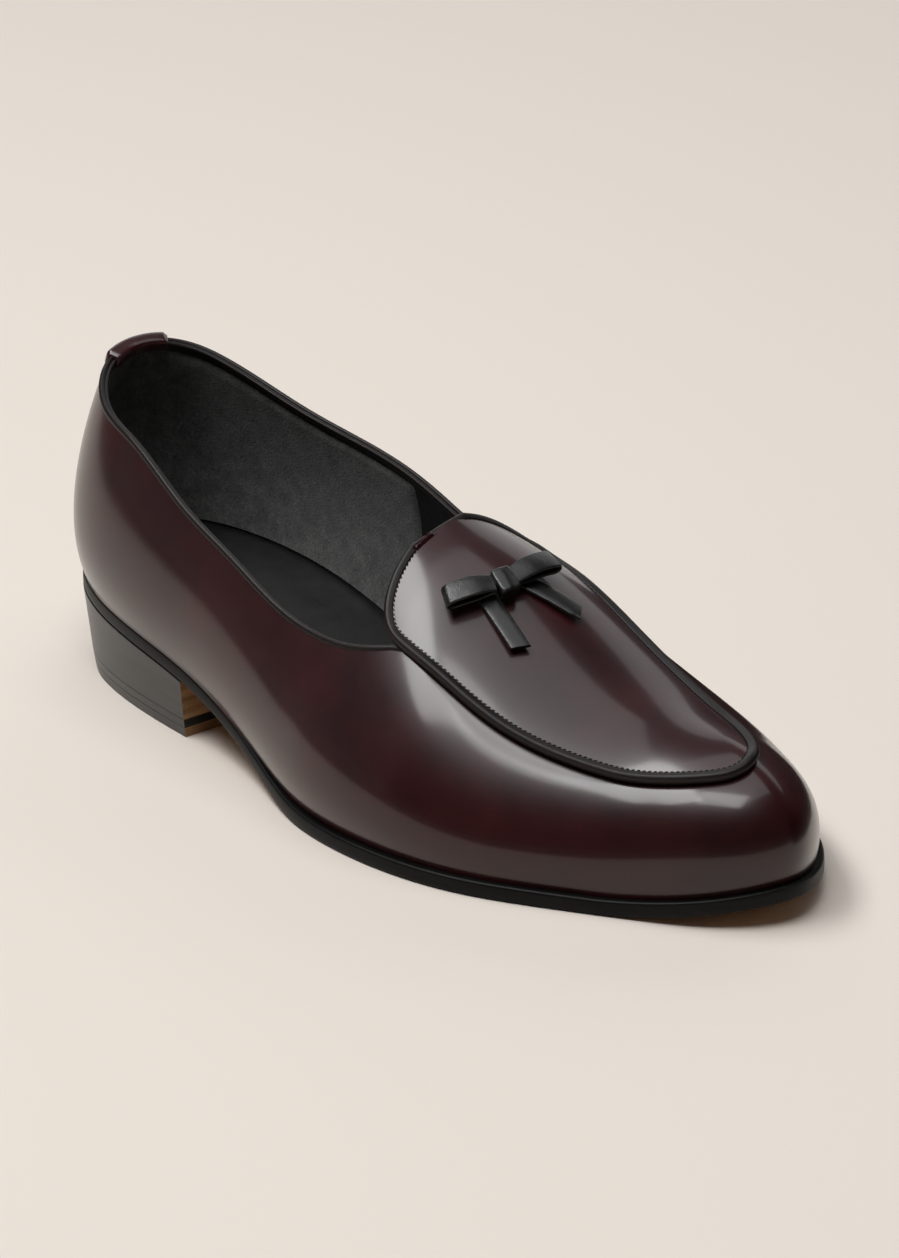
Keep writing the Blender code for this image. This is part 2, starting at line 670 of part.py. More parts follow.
def part_of_path(path, side, up, length, start, end):
    """The stretch of a path, with its side and up vectors, between two lengths along it."""
    kept = (length > start + 1.0) & (length < end - 1.0)
    at = np.concatenate([[start], length[kept], [end]])
    path, side, up = [np.stack([np.interp(at, length, part[:, k]) for k in range(3)], -1)
                      for part in (path, side, up)]
    return path, unit(side), unit(up)


def apron_path(columns):
    """The apron's cut edge at each column, from its rear end over the lateral side and back."""
    order = list(range(columns.pole_l, columns.pole_m))
    u, v = columns.u[order], columns.apron_v[order]
    points = LAST.point(u, v)
    out, _ = LAST.frame(u, v)
    along = unit(np.roll(points, -1, axis=0) - np.roll(points, 1, axis=0))
    away = unit(np.cross(along, out))
    if (away * (points - points.mean(axis=0))).sum() < 0:
        away = -away
    return points, away, out


def make_bindings(columns):
    half = TOPLINE_WIDTH / 2
    top = TOPLINE_RISE
    path, side, up, length = topline_path(columns)
    path, side, up = part_of_path(path, side, up, length, THROAT_TRIM, length[-1] - THROAT_TRIM)
    section = [
        (-half, GAP + 0.4), (0.0, GAP), (half, GAP + 0.4),
        (half, top - 0.8), (0.0, top), (-half, top - 0.8),
    ]
    sweep("topline_binding", "black_leather", path, side, up, [section] * len(path), closed=False)

    path, side, up = apron_path(columns)
    wall_edge = LAST.point(columns.u, columns.wall_v)[columns.pole_l : columns.pole_m]
    width = BINDING_WIDTH + GAP
    rows = []
    for clear in np.linalg.norm(path - wall_edge, axis=1):
        # Where the apron stands free of the wall, as the tongue, its edge is bound all round.
        low = APRON_RISE - WALL - 0.4 if clear > FREE_EDGE else 0.4
        rows.append([
            (GAP, low), (width, low), (width + 0.1, 1.7), (width - 0.7, BINDING_HEIGHT),
            (GAP + 0.3, BINDING_HEIGHT),
        ])
    sweep("apron_binding", "black_leather", path, side, up, rows, closed=True)


def make_heel_tab(columns):
    """A strip of leather folded over the back of the collar, on top of its binding."""
    path, side, up, length = topline_path(columns)
    back = length[columns.count - columns.throat_m]
    path, side, up = part_of_path(path, side, up, length, back - TAB_LENGTH / 2, back + TAB_LENGTH / 2)
    inner = TOPLINE_WIDTH / 2 + GAP
    outer = inner + TAB_THICKNESS
    top = TOPLINE_RISE + GAP
    section = [
        (-outer, -TAB_INNER_LEG), (-inner, -TAB_INNER_LEG), (-inner, top), (inner, top),
        (inner, -TAB_OUTER_LEG), (outer, -TAB_OUTER_LEG), (outer, top + 0.4),
        (outer - 0.8, top + TAB_THICKNESS), (-outer + 0.8, top + TAB_THICKNESS), (-outer, top + 0.4),
    ]
    sweep("heel_tab", "burgundy_leather", path, side, up, [section] * len(path), closed=False)


# Bow
class BowFrame:
    """Places bow sizes on the apron: ahead towards the toe, across towards the medial side and
    up from the apron's face, all along the face's own curve."""

    def __init__(self):
        u, v = np.meshgrid(np.linspace(0.25, 0.75, 201), np.linspace(0.6, 0.99, 41), indexing="ij")
        self.grid = (u.ravel(), v.ravel(), LAST.point(u, v).reshape(-1, 3))

    def place(self, ahead, across, up):
        ahead, across, up = [np.ravel(part) for part in np.broadcast_arrays(ahead, across, up)]
        plan = np.stack([BOW_X + ahead, BOW_Y + across], -1)
        grid_u, grid_v, grid_points = self.grid
        nearest = np.argmin(((plan[:, None] - grid_points[None, :, :2]) ** 2).sum(-1), axis=1)
        u, v = grid_u[nearest], grid_v[nearest]
        for _ in range(6):
            miss = plan - LAST.point(u, v)[:, :2]
            by_u = (LAST.point(u + 1e-4, v) - LAST.point(u - 1e-4, v))[:, :2] / 2e-4
            by_v = (LAST.point(u, v + 1e-4) - LAST.point(u, v - 1e-4))[:, :2] / 2e-4
            area = by_u[:, 0] * by_v[:, 1] - by_u[:, 1] * by_v[:, 0]
            u = u + (miss[:, 0] * by_v[:, 1] - miss[:, 1] * by_v[:, 0]) / area
            v = v + (miss[:, 1] * by_u[:, 0] - miss[:, 0] * by_u[:, 1]) / area
            v = np.minimum(v, 1.0)
        out, _ = LAST.frame(u, v)
        return LAST.point(u, v) + out * (APRON_RISE + up)[:, None]


def make_knot(frame):
    """The wrap round the middle of the bow, square to its two loops."""
    knot = Body()
    half = KNOT_WIDTH / 2
    low = LOOP_LIFT - 0.3
    section = np.array([
        (-half, low + 0.7), (-half + 0.8, low), (half - 0.8, low), (half, low + 0.7),
        (half, KNOT_TOP - 1.0), (half - 1.1, KNOT_TOP), (-half + 1.1, KNOT_TOP), (-half, KNOT_TOP - 1.0),
    ])
    middle = (KNOT_TOP + low) / 2
    turn = math.radians(BOW_TURN)
    rows = []
    for share, swell in ((-0.5, 0.82), (-0.4, 0.97), (0.0, 1.0), (0.4, 0.97), (0.5, 0.82)):
        long, wide = share * KNOT_LENGTH, section[:, 0] * swell
        up = middle + (section[:, 1] - middle) * swell
        ahead = long * math.cos(turn) + wide * math.sin(turn)
        across = wide * math.cos(turn) - long * math.sin(turn)
        rows.append(knot.add(frame.place(ahead, across, up)))
    for first, second in zip(rows, rows[1:]):
        knot.strip(first, second, closed=True)
    knot.face(*rows[0])
    knot.face(*rows[-1])
    knot.finish("bow_knot", "black_leather")


def make_loop(frame, name, sweep_back, length, side):
    """A loop's strip: out over the apron, round the end and back on top."""
    turn = np.radians(np.linspace(-90.0, 90.0, 7))
    radius = (LOOP_HEIGHT - STRIP) / 2
    low = LOOP_LIFT + STRIP / 2
    back = math.radians(sweep_back)
    to_knot = math.radians(sweep_back + side * BOW_TURN)
    start = (KNOT_WIDTH / 2 + GAP + 0.5 * LOOP_WIDTH * math.sin(abs(to_knot))) / math.cos(to_knot)
    end = KNOT_WIDTH / 2 + length - radius - STRIP / 2
    away = np.concatenate([[start, start + 4.0], end + radius * np.cos(turn), [start + 4.0, start]])
    height = np.concatenate([[low + 0.6, low], low + radius * (1 + np.sin(turn)),
                             [low + 2 * radius + 0.1, low + 2 * radius - 0.5]])
    line = np.stack([away, height], -1)
    along = unit(np.gradient(line, axis=0))
    normal = np.stack([-along[:, 1], along[:, 0]], -1)
    narrow = 0.9 + 0.1 * ease((line[:, 0] - start) / 6.0)
    loop = Body()
    rows = []
    for edge, offset in ((-0.5, -0.5), (-0.5, 0.5), (0.5, 0.5), (0.5, -0.5)):
        spot = line + normal * offset * STRIP
        wide = edge * LOOP_WIDTH * narrow
        ahead = wide * math.cos(back) - spot[:, 0] * math.sin(back)
        across = side * (spot[:, 0] * math.cos(back) + wide * math.sin(back))
        rows.append(loop.add(frame.place(ahead, across, spot[:, 1])))
    for first, second in zip(rows, rows[1:] + rows[:1]):
        loop.strip(first, second)
    loop.face(*[row[0] for row in rows])
    loop.face(*[row[-1] for row in rows])
    loop.finish(name, "black_leather")


def make_tail(frame, name, degrees, length, start_ahead, start_across, side):
    """A tail's strip: flat from under its loop, arched off the apron and down to a slanted end."""
    tail = Body()
    turn = math.radians(degrees)
    rows = []
    for step in np.linspace(0.0, 1.0, 9):
        lift = TAIL_LIFT + TAIL_ARCH * math.sin(math.pi * max(0.0, (step - 0.3) / 0.7))
        edge, up = np.array([(-0.5, 0.0), (0.5, 0.0), (0.5, STRIP), (-0.5, STRIP)]).T
        reach = step * (length - edge * side * TAIL_WIDTH * TAIL_SLANT)
        wide = edge * TAIL_WIDTH
        ahead = start_ahead + reach * math.cos(turn) - wide * math.sin(turn)
        across = start_across + reach * math.sin(turn) + wide * math.cos(turn)
        rows.append(tail.add(frame.place(ahead, across, lift + up)))
    for first, second in zip(rows, rows[1:]):
        tail.strip(first, second, closed=True)
    tail.face(*rows[0])
    tail.face(*rows[-1])
    tail.finish(name, "black_leather")


def make_bow():
    frame = BowFrame()
    make_knot(frame)
    for name, sizes in LOOPS.items():
        make_loop(frame, name, *sizes)
    for name, sizes in TAILS.items():
        make_tail(frame, name, *sizes)


# Build
def main():
    for old in list(bpy.data.objects):
        bpy.data.objects.remove(old, do_unlink=True)
    columns = Columns(REAR_COLUMNS, TONGUE_COLUMNS, FRONT_COLUMNS)
    make_upper(columns)
    make_outsole()
    make_insole()
    make_heel()
    make_bindings(columns)
    make_heel_tab(columns)
    make_bow()


if __name__ == "__main__":
    main()
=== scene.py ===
"""The looks of a belgian loafer, right shoe: polished burgundy calf with a bound topline, a bound
apron with a free tongue, a black strip bow, an inked leather sole and a stacked heel.

Sizes are in millimetres, measured from the back of the heel as in the part's source, and become
metres in the frame's place as a mesh is made. The toe points along +X, the medial side (towards the
other foot) is +Y, the lateral side is -Y and the shoe stands on z = 0.
"""

import logging
import math
from collections.abc import Callable, Iterable, Sequence
from dataclasses import dataclass, field
from enum import Enum

import bmesh
import bpy
import numpy as np
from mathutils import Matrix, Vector


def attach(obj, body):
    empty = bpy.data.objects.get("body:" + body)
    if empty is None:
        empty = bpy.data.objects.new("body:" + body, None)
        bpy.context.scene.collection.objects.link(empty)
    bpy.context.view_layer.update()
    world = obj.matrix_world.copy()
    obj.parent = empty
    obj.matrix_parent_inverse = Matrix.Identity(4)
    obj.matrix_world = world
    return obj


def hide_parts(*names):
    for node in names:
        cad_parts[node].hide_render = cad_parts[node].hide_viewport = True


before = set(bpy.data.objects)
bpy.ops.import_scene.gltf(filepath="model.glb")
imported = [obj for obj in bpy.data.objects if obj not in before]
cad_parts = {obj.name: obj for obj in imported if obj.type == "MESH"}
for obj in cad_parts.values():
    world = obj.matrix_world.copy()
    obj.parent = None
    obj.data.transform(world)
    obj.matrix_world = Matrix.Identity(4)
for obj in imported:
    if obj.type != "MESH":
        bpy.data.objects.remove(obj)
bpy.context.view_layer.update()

LOG = logging.getLogger("loafer")
Array = np.ndarray
MM = 0.001
HEEL_TO_MIDDLE = np.array([145.5, -4.6, 0.0])  # the frame's origin, in heel coordinates
BODY = "root"
MIX_A, MIX_B, MIX_OUT = 6, 7, 2  # the colour sockets of a Mix node


class Side(Enum):
    """The two sides of the shoe, valued by the direction across it."""

    LATERAL = -1.0
    MEDIAL = 1.0


# Curves and small sums

def ease(t: Array | float) -> Array:
    """0 to 1 with no corner at either end."""
    t = np.clip(t, 0.0, 1.0)
    return t * t * (3 - 2 * t)


def unit(vectors: Array) -> Array:
    """The same directions at length 1."""
    return vectors / np.maximum(np.linalg.norm(vectors, axis=-1, keepdims=True), 1e-9)


def lengths_along(points: Array) -> Array:
    """The distance from the first point of a line to each of its points."""
    steps = np.linalg.norm(np.diff(points, axis=0), axis=1)
    return np.concatenate([[0.0], np.cumsum(steps)])


def spline(knots: Sequence[float], rows: Sequence, closed: bool = False) -> Callable[[Array], Array]:
    """A smooth curve through rows of values.

    Args:
        knots: where each row lies. On a closed curve one more knot says where it comes round.
        rows: a number, or a row of numbers, for each knot.
        closed: whether the last row leads back to the first.

    Returns:
        A function that gives the row at any place along the knots.
    """
    k = np.asarray(knots, float)
    v = np.asarray(rows, float)
    flat = v.ndim == 1
    v = v[:, None] if flat else v
    around = np.concatenate([v, v[:1]]) if closed else v
    step = np.diff(k)
    slope = np.diff(around, axis=0) / step[:, None]
    count = len(v)
    matrix, right = np.eye(count), np.zeros(v.shape)
    for i in range(count) if closed else range(1, count - 1):
        before, after = (i - 1) % count, (i + 1) % count
        matrix[i, i] = 0.0
        matrix[i, before] += step[i - 1]
        matrix[i, i] += 2 * (step[i - 1] + step[i])
        matrix[i, after] += step[i]
        right[i] = 6 * (slope[i] - slope[i - 1])
    bend = np.linalg.solve(matrix, right)
    bend = np.concatenate([bend, bend[:1]]) if closed else bend

    def value(t: Array) -> Array:
        """The row at t."""
        t = np.asarray(t, float)
        t = t % k[-1] if closed else t
        i = np.clip(np.searchsorted(k, t, side="right") - 1, 0, len(step) - 1)
        s, h = (t - k[i])[..., None], step[i][..., None]
        first = slope[i] - h * (2 * bend[i] + bend[i + 1]) / 6
        row = around[i] + s * first + bend[i] * s**2 / 2 + (bend[i + 1] - bend[i]) * s**3 / (6 * h)
        return row[..., 0] if flat else row

    return value


def columns_of(table: Sequence[Sequence[float]], *wanted: int) -> list[Callable[[Array], Array]]:
    """Smooth curves of a table's wanted columns over its first column."""
    knots = [row[0] for row in table]
    return [spline(knots, [row[column] for row in table]) for column in wanted]


def first_crossing(values: Array) -> Array:
    """Where each row of values first rises through 0, as a share of the row; 1 if it never does."""
    count = values.shape[1]
    above = values >= 0
    i = np.clip(np.argmax(above, axis=1), 1, count - 1)
    row = np.arange(len(values))
    low, high = values[row, i - 1], values[row, i]
    share = np.clip(-low / np.where(np.abs(high - low) < 1e-12, 1.0, high - low), 0.0, 1.0)
    return np.where(above.any(axis=1), (i - 1 + share) / (count - 1), 1.0)


# The shape of the shoe

@dataclass
class Sole:
    """Heights of the sole over the floor, along the shoe."""

    thickness: float = 4.8
    tread: tuple[float, float] = (162.0, 250.0)  # flat on the floor between these
    spring: float = 7.4  # the underside at the tip of the toe
    spring_power: float = 1.7
    tip_x: float = 291.6
    rise: tuple = (  # x, height of the underside behind the tread
        (-10.0, 25.6), (0.0, 25.1), (31.0, 23.2), (62.0, 21.0), (83.0, 18.1),
        (104.0, 12.6), (128.0, 4.6), (148.0, 0.7), (162.0, 0.0),
    )

    def __post_init__(self) -> None:
        """Works out the curve behind the tread."""
        (self.back,) = columns_of(self.rise, 1)

    def underside(self, x: Array) -> Array:
        """Heel pitch, arch, flat tread and toe spring."""
        x = np.asarray(x, float)
        start, end = self.tread
        behind = np.maximum(self.back(np.minimum(x, start)), 0.0)
        ahead = np.clip((x - end) / (self.tip_x - end), 0.0, 1.2)
        return np.where(x < start, behind, self.spring * ahead**self.spring_power)

    def top(self, x: Array) -> Array:
        """Height of the face that the upper stands on."""
        return self.underside(x) + self.thickness


@dataclass
class Last:
    """The outside of the upper as a surface: u runs once round the feather line from the heel over
    the lateral side, v from the sole (0) to the ridge over the foot (1).

    Each section is (x and y where it leaves the sole, x on the ridge, how far it leans out and up as
    it leaves the sole, how far outside and below the ridge it comes over).
    """

    sole: Sole
    gap: float = 0.3
    heel: tuple = (2.2, 0.0, 11.4, 8.2, 26.0, 6.9, 31.0)
    toe: tuple = (289.3, 4.5, 257.9, 4.8, 15.7, 25.2, 0.0)
    lateral: tuple = (
        (6.2, -17.0, 16.6, 5.0, 26.0, 13.3, 31.0),  # counter
        (21.8, -31.2, 30.7, 10.2, 26.6, 14.4, 29.7),  # quarter
        (52.0, -40.6, 54.0, 10.4, 27.0, 16.1, 30.0),  # seat
        (88.4, -44.6, 89.4, 11.0, 27.0, 18.2, 26.6),  # waist
        (124.8, -49.8, 121.7, 14.6, 26.8, 24.7, 14.3),  # arch
        (156.0, -57.0, 151.8, 15.1, 26.1, 29.6, 3.2),  # instep
        (187.2, -58.0, 178.9, 12.4, 24.9, 28.4, 0.0),  # joint
        (217.4, -50.8, 204.9, 7.4, 20.9, 27.6, 0.0),  # ball
        (242.5, -37.4, 224.6, 5.2, 18.7, 27.6, 0.0),  # vamp
        (261.1, -26.3, 240.2, 4.7, 18.0, 26.3, 0.0),  # wide toe
        (275.9, -16.6, 250.6, 4.8, 16.8, 25.2, 0.0),  # middle toe
        (286.0, -5.4, 255.8, 4.8, 15.7, 25.0, 0.0),  # near toe
    )
    medial: tuple = (
        (6.8, 13.5, 16.6, 7.4, 26.0, 11.7, 31.0),
        (21.8, 24.8, 30.7, 8.1, 26.6, 11.4, 30.2),
        (52.0, 29.8, 54.0, 8.9, 27.1, 15.6, 29.5),
        (88.4, 28.0, 89.4, 11.8, 27.9, 18.1, 25.6),
        (124.8, 27.4, 121.7, 16.5, 28.7, 20.1, 13.6),
        (156.0, 32.2, 151.8, 17.6, 30.0, 24.3, 0.6),
        (187.2, 41.0, 178.9, 13.6, 27.1, 24.2, 0.0),
        (217.4, 49.0, 204.9, 7.5, 22.8, 25.9, 0.0),
        (242.5, 48.0, 224.6, 5.0, 20.5, 25.4, 0.0),
        (261.1, 39.5, 240.2, 4.4, 17.9, 25.0, 0.0),
        (275.9, 27.0, 250.6, 4.4, 16.8, 25.1, 0.0),
        (286.0, 14.4, 255.8, 4.6, 15.8, 25.2, 0.0),
    )
    ridge: tuple = (  # x, y, z
        (11.4, -2.8, 102.9), (29.0, -1.3, 114.0), (54.0, -2.7, 112.0), (89.4, 0.5, 105.4),
        (121.7, 1.0, 91.5), (151.8, -0.5, 79.0), (178.9, 1.5, 71.0), (204.9, 3.0, 57.8),
        (224.6, 3.8, 49.2), (240.2, 4.6, 45.0), (257.9, 5.6, 43.4),
    )
    cone: tuple = (11.4, 57.0, 145.0)  # back, widest place and front of the open top of the last
    cone_half_width: float = 13.4

    def __post_init__(self) -> None:
        """Works out the curves through the tables."""
        self.ridge_y, self.ridge_z = columns_of(self.ridge, 1, 2)
        rows = np.array([self.heel, *self.lateral, self.toe, *self.medial[::-1]], float)
        ahead = np.roll(rows, -1, axis=0)
        steps = 0.6 * np.hypot(*(ahead[:, :2] - rows[:, :2]).T) + 0.4 * np.abs(ahead[:, 2] - rows[:, 2])
        knots = np.concatenate([[0.0], np.cumsum(steps)])
        knots /= knots[-1]
        self.sections = spline(knots, rows, closed=True)
        self.toe_u = knots[len(self.lateral) + 1]

    def cone_width(self, x: Array) -> Array:
        """Half the width of the open top of the last."""
        back, widest, front = self.cone
        behind = np.clip((widest - x) / (widest - back), 0.0, 1.0)
        ahead = np.clip((x - widest) / (front - widest), 0.0, 1.0)
        return self.cone_half_width * np.sqrt(1 - behind**3) * (1 - ease(ahead**2.2))

    def point(self, u: Array, v: Array) -> Array:
        """Points of the surface."""
        x, y, x_top, flare, rise, reach, drop = np.moveaxis(self.sections(u), -1, 0)
        side = np.where(np.asarray(u) % 1.0 < self.toe_u, -1.0, 1.0)
        foot = np.stack([x, y, self.sole.top(x) + self.gap], -1)
        y_top = self.ridge_y(x_top) + side * self.cone_width(x_top)
        top = np.stack([x_top, y_top, self.ridge_z(x_top)], -1)
        out = unit(foot[..., :2] - top[..., :2])
        slope = (self.ridge_z(x_top + 0.5) - self.ridge_z(x_top - 0.5)) * ease((x_top - 104.0) / 52.0)
        low = foot + np.concatenate([out * flare[..., None], rise[..., None]], -1)
        fall = slope * out[..., 0] * reach - drop
        high = top + np.concatenate([out * reach[..., None], fall[..., None]], -1)
        v = np.asarray(v, float)[..., None]
        w = 1.0 - v
        return foot * w**3 + 3 * low * w * w * v + 3 * high * w * v * v + top * v**3

    def directions(self, u: Array, v: Array) -> tuple[Array, Array]:
        """Unit vectors at a point: out of the surface, and up it towards the ridge."""
        v = np.clip(v, 0.0, 0.965)
        along = self.point(u + 5e-4, v) - self.point(u - 5e-4, v)
        up = unit(self.point(u, v + 5e-3) - self.point(u, v - 5e-3))
        return unit(np.cross(along, up)), up

    def at_plan(self, plan: Array) -> tuple[Array, Array]:
        """u and v of the points of the forepart's top that lie over places in plan."""
        if not hasattr(self, "plan_grid"):
            u, v = np.meshgrid(np.linspace(0.25, 0.75, 201), np.linspace(0.5, 0.99, 50), indexing="ij")
            self.plan_grid = (u.ravel(), v.ravel(), self.point(u, v).reshape(-1, 3))
        grid_u, grid_v, grid_points = self.plan_grid
        nearest = [int(np.argmin(((spot - grid_points[:, :2]) ** 2).sum(-1))) for spot in plan]
        u, v = grid_u[nearest], grid_v[nearest]
        for _ in range(6):
            miss = plan - self.point(u, v)[:, :2]
            by_u = (self.point(u + 1e-4, v) - self.point(u - 1e-4, v))[:, :2] / 2e-4
            by_v = (self.point(u, v + 1e-4) - self.point(u, v - 1e-4))[:, :2] / 2e-4
            area = by_u[:, 0] * by_v[:, 1] - by_u[:, 1] * by_v[:, 0]
            u = u + (miss[:, 0] * by_v[:, 1] - miss[:, 1] * by_v[:, 0]) / area
            v = np.minimum(v + (miss[:, 1] * by_u[:, 0] - miss[:, 0] * by_u[:, 1]) / area, 1.0)
        return u, v


@dataclass
class Pattern:
    """The edges that the upper's leather is cut to, on the last."""

    last: Last
    apron_ends: tuple[float, float] = (152.0, 274.0)  # at the outer edge of its binding
    apron_rounds: tuple[float, float] = (20.0, 31.0)
    seam: float = 2.6  # the apron's cut edge lies this far inside its binding's outer edge
    topline_rise: float = 3.1  # and the wall's this far below the topline's
    apron_rise: float = 1.5  # the apron stands this much above the wall
    topline: tuple = (  # x, height of the lateral topline, height of the medial topline
        (0.0, 99.6, 98.3), (20.8, 87.5, 91.7), (46.8, 82.1, 82.7), (78.0, 70.3, 75.8),
        (104.0, 62.7, 71.4), (130.0, 55.5, 66.0), (156.0, 54.3, 65.1), (182.0, 60.0, 69.0),
    )
    topline_blend: float = 16.0  # the width over which one side's height passes into the other's
    apron_sides: tuple = (  # x, y of the lateral and of the medial outer edge
        (152.0, -33.5, 24.5), (171.0, -38.0, 26.0), (187.0, -37.6, 25.4), (203.0, -35.8, 24.6),
        (220.0, -31.8, 23.6), (237.0, -25.6, 22.0), (255.0, -18.6, 18.6), (272.0, -14.0, 16.8),
    )
    samples: int = 241

    def __post_init__(self) -> None:
        """Works out the curves through the tables."""
        self.topline_z = columns_of(self.topline, 1, 2)
        self.apron_y = columns_of(self.apron_sides, 1, 2)

    def apron_reach(self, points: Array, inset: float) -> Array:
        """Above 0 inside the apron's outline, drawn in by inset, and below 0 outside it."""
        start, end = self.apron_ends
        back_round, front_round = self.apron_rounds
        x = points[..., 0]
        back = np.clip(1 - (x - start - inset) / (back_round - inset), 0.0, 1.0)
        front = np.clip(1 - (end - inset - x) / (front_round - inset), 0.0, 1.0)
        rounding = np.sqrt(np.maximum(0.0, 1 - back**2.2)) * np.sqrt(np.maximum(0.0, 1 - front**2.2))
        lateral, medial = [side(np.clip(x, start, end)) for side in self.apron_y]
        across = np.abs(points[..., 1] - (lateral + medial) / 2)
        outside = np.maximum(start + inset - x, x - end + inset)
        within = ((medial - lateral) / 2 - inset) * rounding - across
        return np.where(outside > 0, -outside - 0.2 * across, within)

    def edges(self, u: Array, inset: float, drop: float) -> tuple[Array, Array]:
        """Heights of the topline and of the apron's outline on the last.

        Args:
            u: places round the last.
            inset: how far inside its outer edge the apron's outline is taken.
            drop: how far below its top the topline is taken.

        Returns:
            v of the topline and v of the apron's outline, for each u.
        """
        v = np.broadcast_to(np.linspace(0.0, 1.0, self.samples), (len(u), self.samples))
        points = self.last.point(np.repeat(u[:, None], self.samples, axis=1), v)
        lateral, medial = [side(points[..., 0]) for side in self.topline_z]
        height = lateral + (medial - lateral) * ease(0.5 + points[..., 1] / self.topline_blend)
        topline = first_crossing(points[..., 2] - height + drop)
        topline = np.where(points[:, 0, 0] > 190.0, 1.0, topline)
        inside = self.apron_reach(points, inset)
        outline = 1.0 - first_crossing(-inside[:, ::-1])
        return topline, np.where(inside[:, -1] >= 0, outline, 1.0)


@dataclass
class Cutting:
    """The lines of u that the upper's skins are made along, and where wall and apron end on each."""

    pattern: Pattern
    rear: int = 120  # columns on each side behind the tongue
    tongue: int = 60
    front: int = 150

    def __post_init__(self) -> None:
        """Places the columns."""
        last, pattern = self.pattern.last, self.pattern
        u = np.linspace(0.0, 1.0, 3001)
        topline, seam = pattern.edges(u, pattern.seam, pattern.topline_rise)
        x_top = last.sections(u)[:, 2]
        lateral = u < last.toe_u
        ridge = np.linspace(pattern.apron_ends[0], pattern.apron_ends[0] + 20.0, 400)
        on_ridge = np.stack([ridge, last.ridge_y(ridge), last.ridge_z(ridge)], -1)
        pole_x = ridge[np.argmax(pattern.apron_reach(on_ridge, pattern.seam) > 0)]
        medial_x, medial_u = x_top[~lateral][::-1], u[~lateral][::-1]
        poles = np.interp(pole_x, x_top[lateral], u[lateral]), np.interp(pole_x, medial_x, medial_u)
        crossed = (seam < topline) & (x_top > pole_x)
        throats = u[np.argmax(crossed)], u[len(u) - 1 - np.argmax(crossed[::-1])]

        tried = poles[0] + (throats[0] - poles[0]) * np.linspace(0.0, 1.0, 400) ** 3
        _, tried_v = pattern.edges(tried, pattern.seam, pattern.topline_rise)
        tried_v[0] = 1.0
        length = lengths_along(last.point(tried, tried_v))
        side = np.interp(np.linspace(0.0, length[-1], self.tongue + 1)[1:], length, tried)
        ahead = 1 - (1 - np.linspace(0.0, 1.0, self.front + 1)[1:]) ** 1.25
        side = np.concatenate([side, throats[0] + (last.toe_u - throats[0]) * ahead])
        ridge_x = last.sections(side)[:, 2]
        other = np.interp(ridge_x[:-1], medial_x, medial_u)
        nearest = int(np.argmin(np.abs(other - throats[1])))
        other[nearest] = throats[1]
        behind = np.linspace(0.0, 1.0, self.rear + 1) ** 1.2
        start = poles[0] * behind[:-1]
        end = (1 - (1 - poles[1]) * behind[::-1])[1:-1]
        self.u = np.concatenate([start, [poles[0]], side, other[::-1], [poles[1]], end])
        self.count = len(self.u)
        self.pole_l = len(start)
        self.throat_l = self.pole_l + self.tongue
        self.toe = self.pole_l + len(side)
        self.pole_m = self.toe + len(side)
        self.throat_m = self.pole_m - 1 - nearest
        self.wall_v, self.apron_v = pattern.edges(self.u, pattern.seam, pattern.topline_rise)
        seamed = slice(self.throat_l, self.throat_m + 1)
        self.wall_v[seamed] = self.apron_v[seamed]
        self.apron_v[[self.pole_l, self.pole_m]] = 1.0

    def partner(self, column: int) -> int:
        """The column that meets this one at the ridge."""
        return self.pole_l + self.pole_m - column


# Meshes

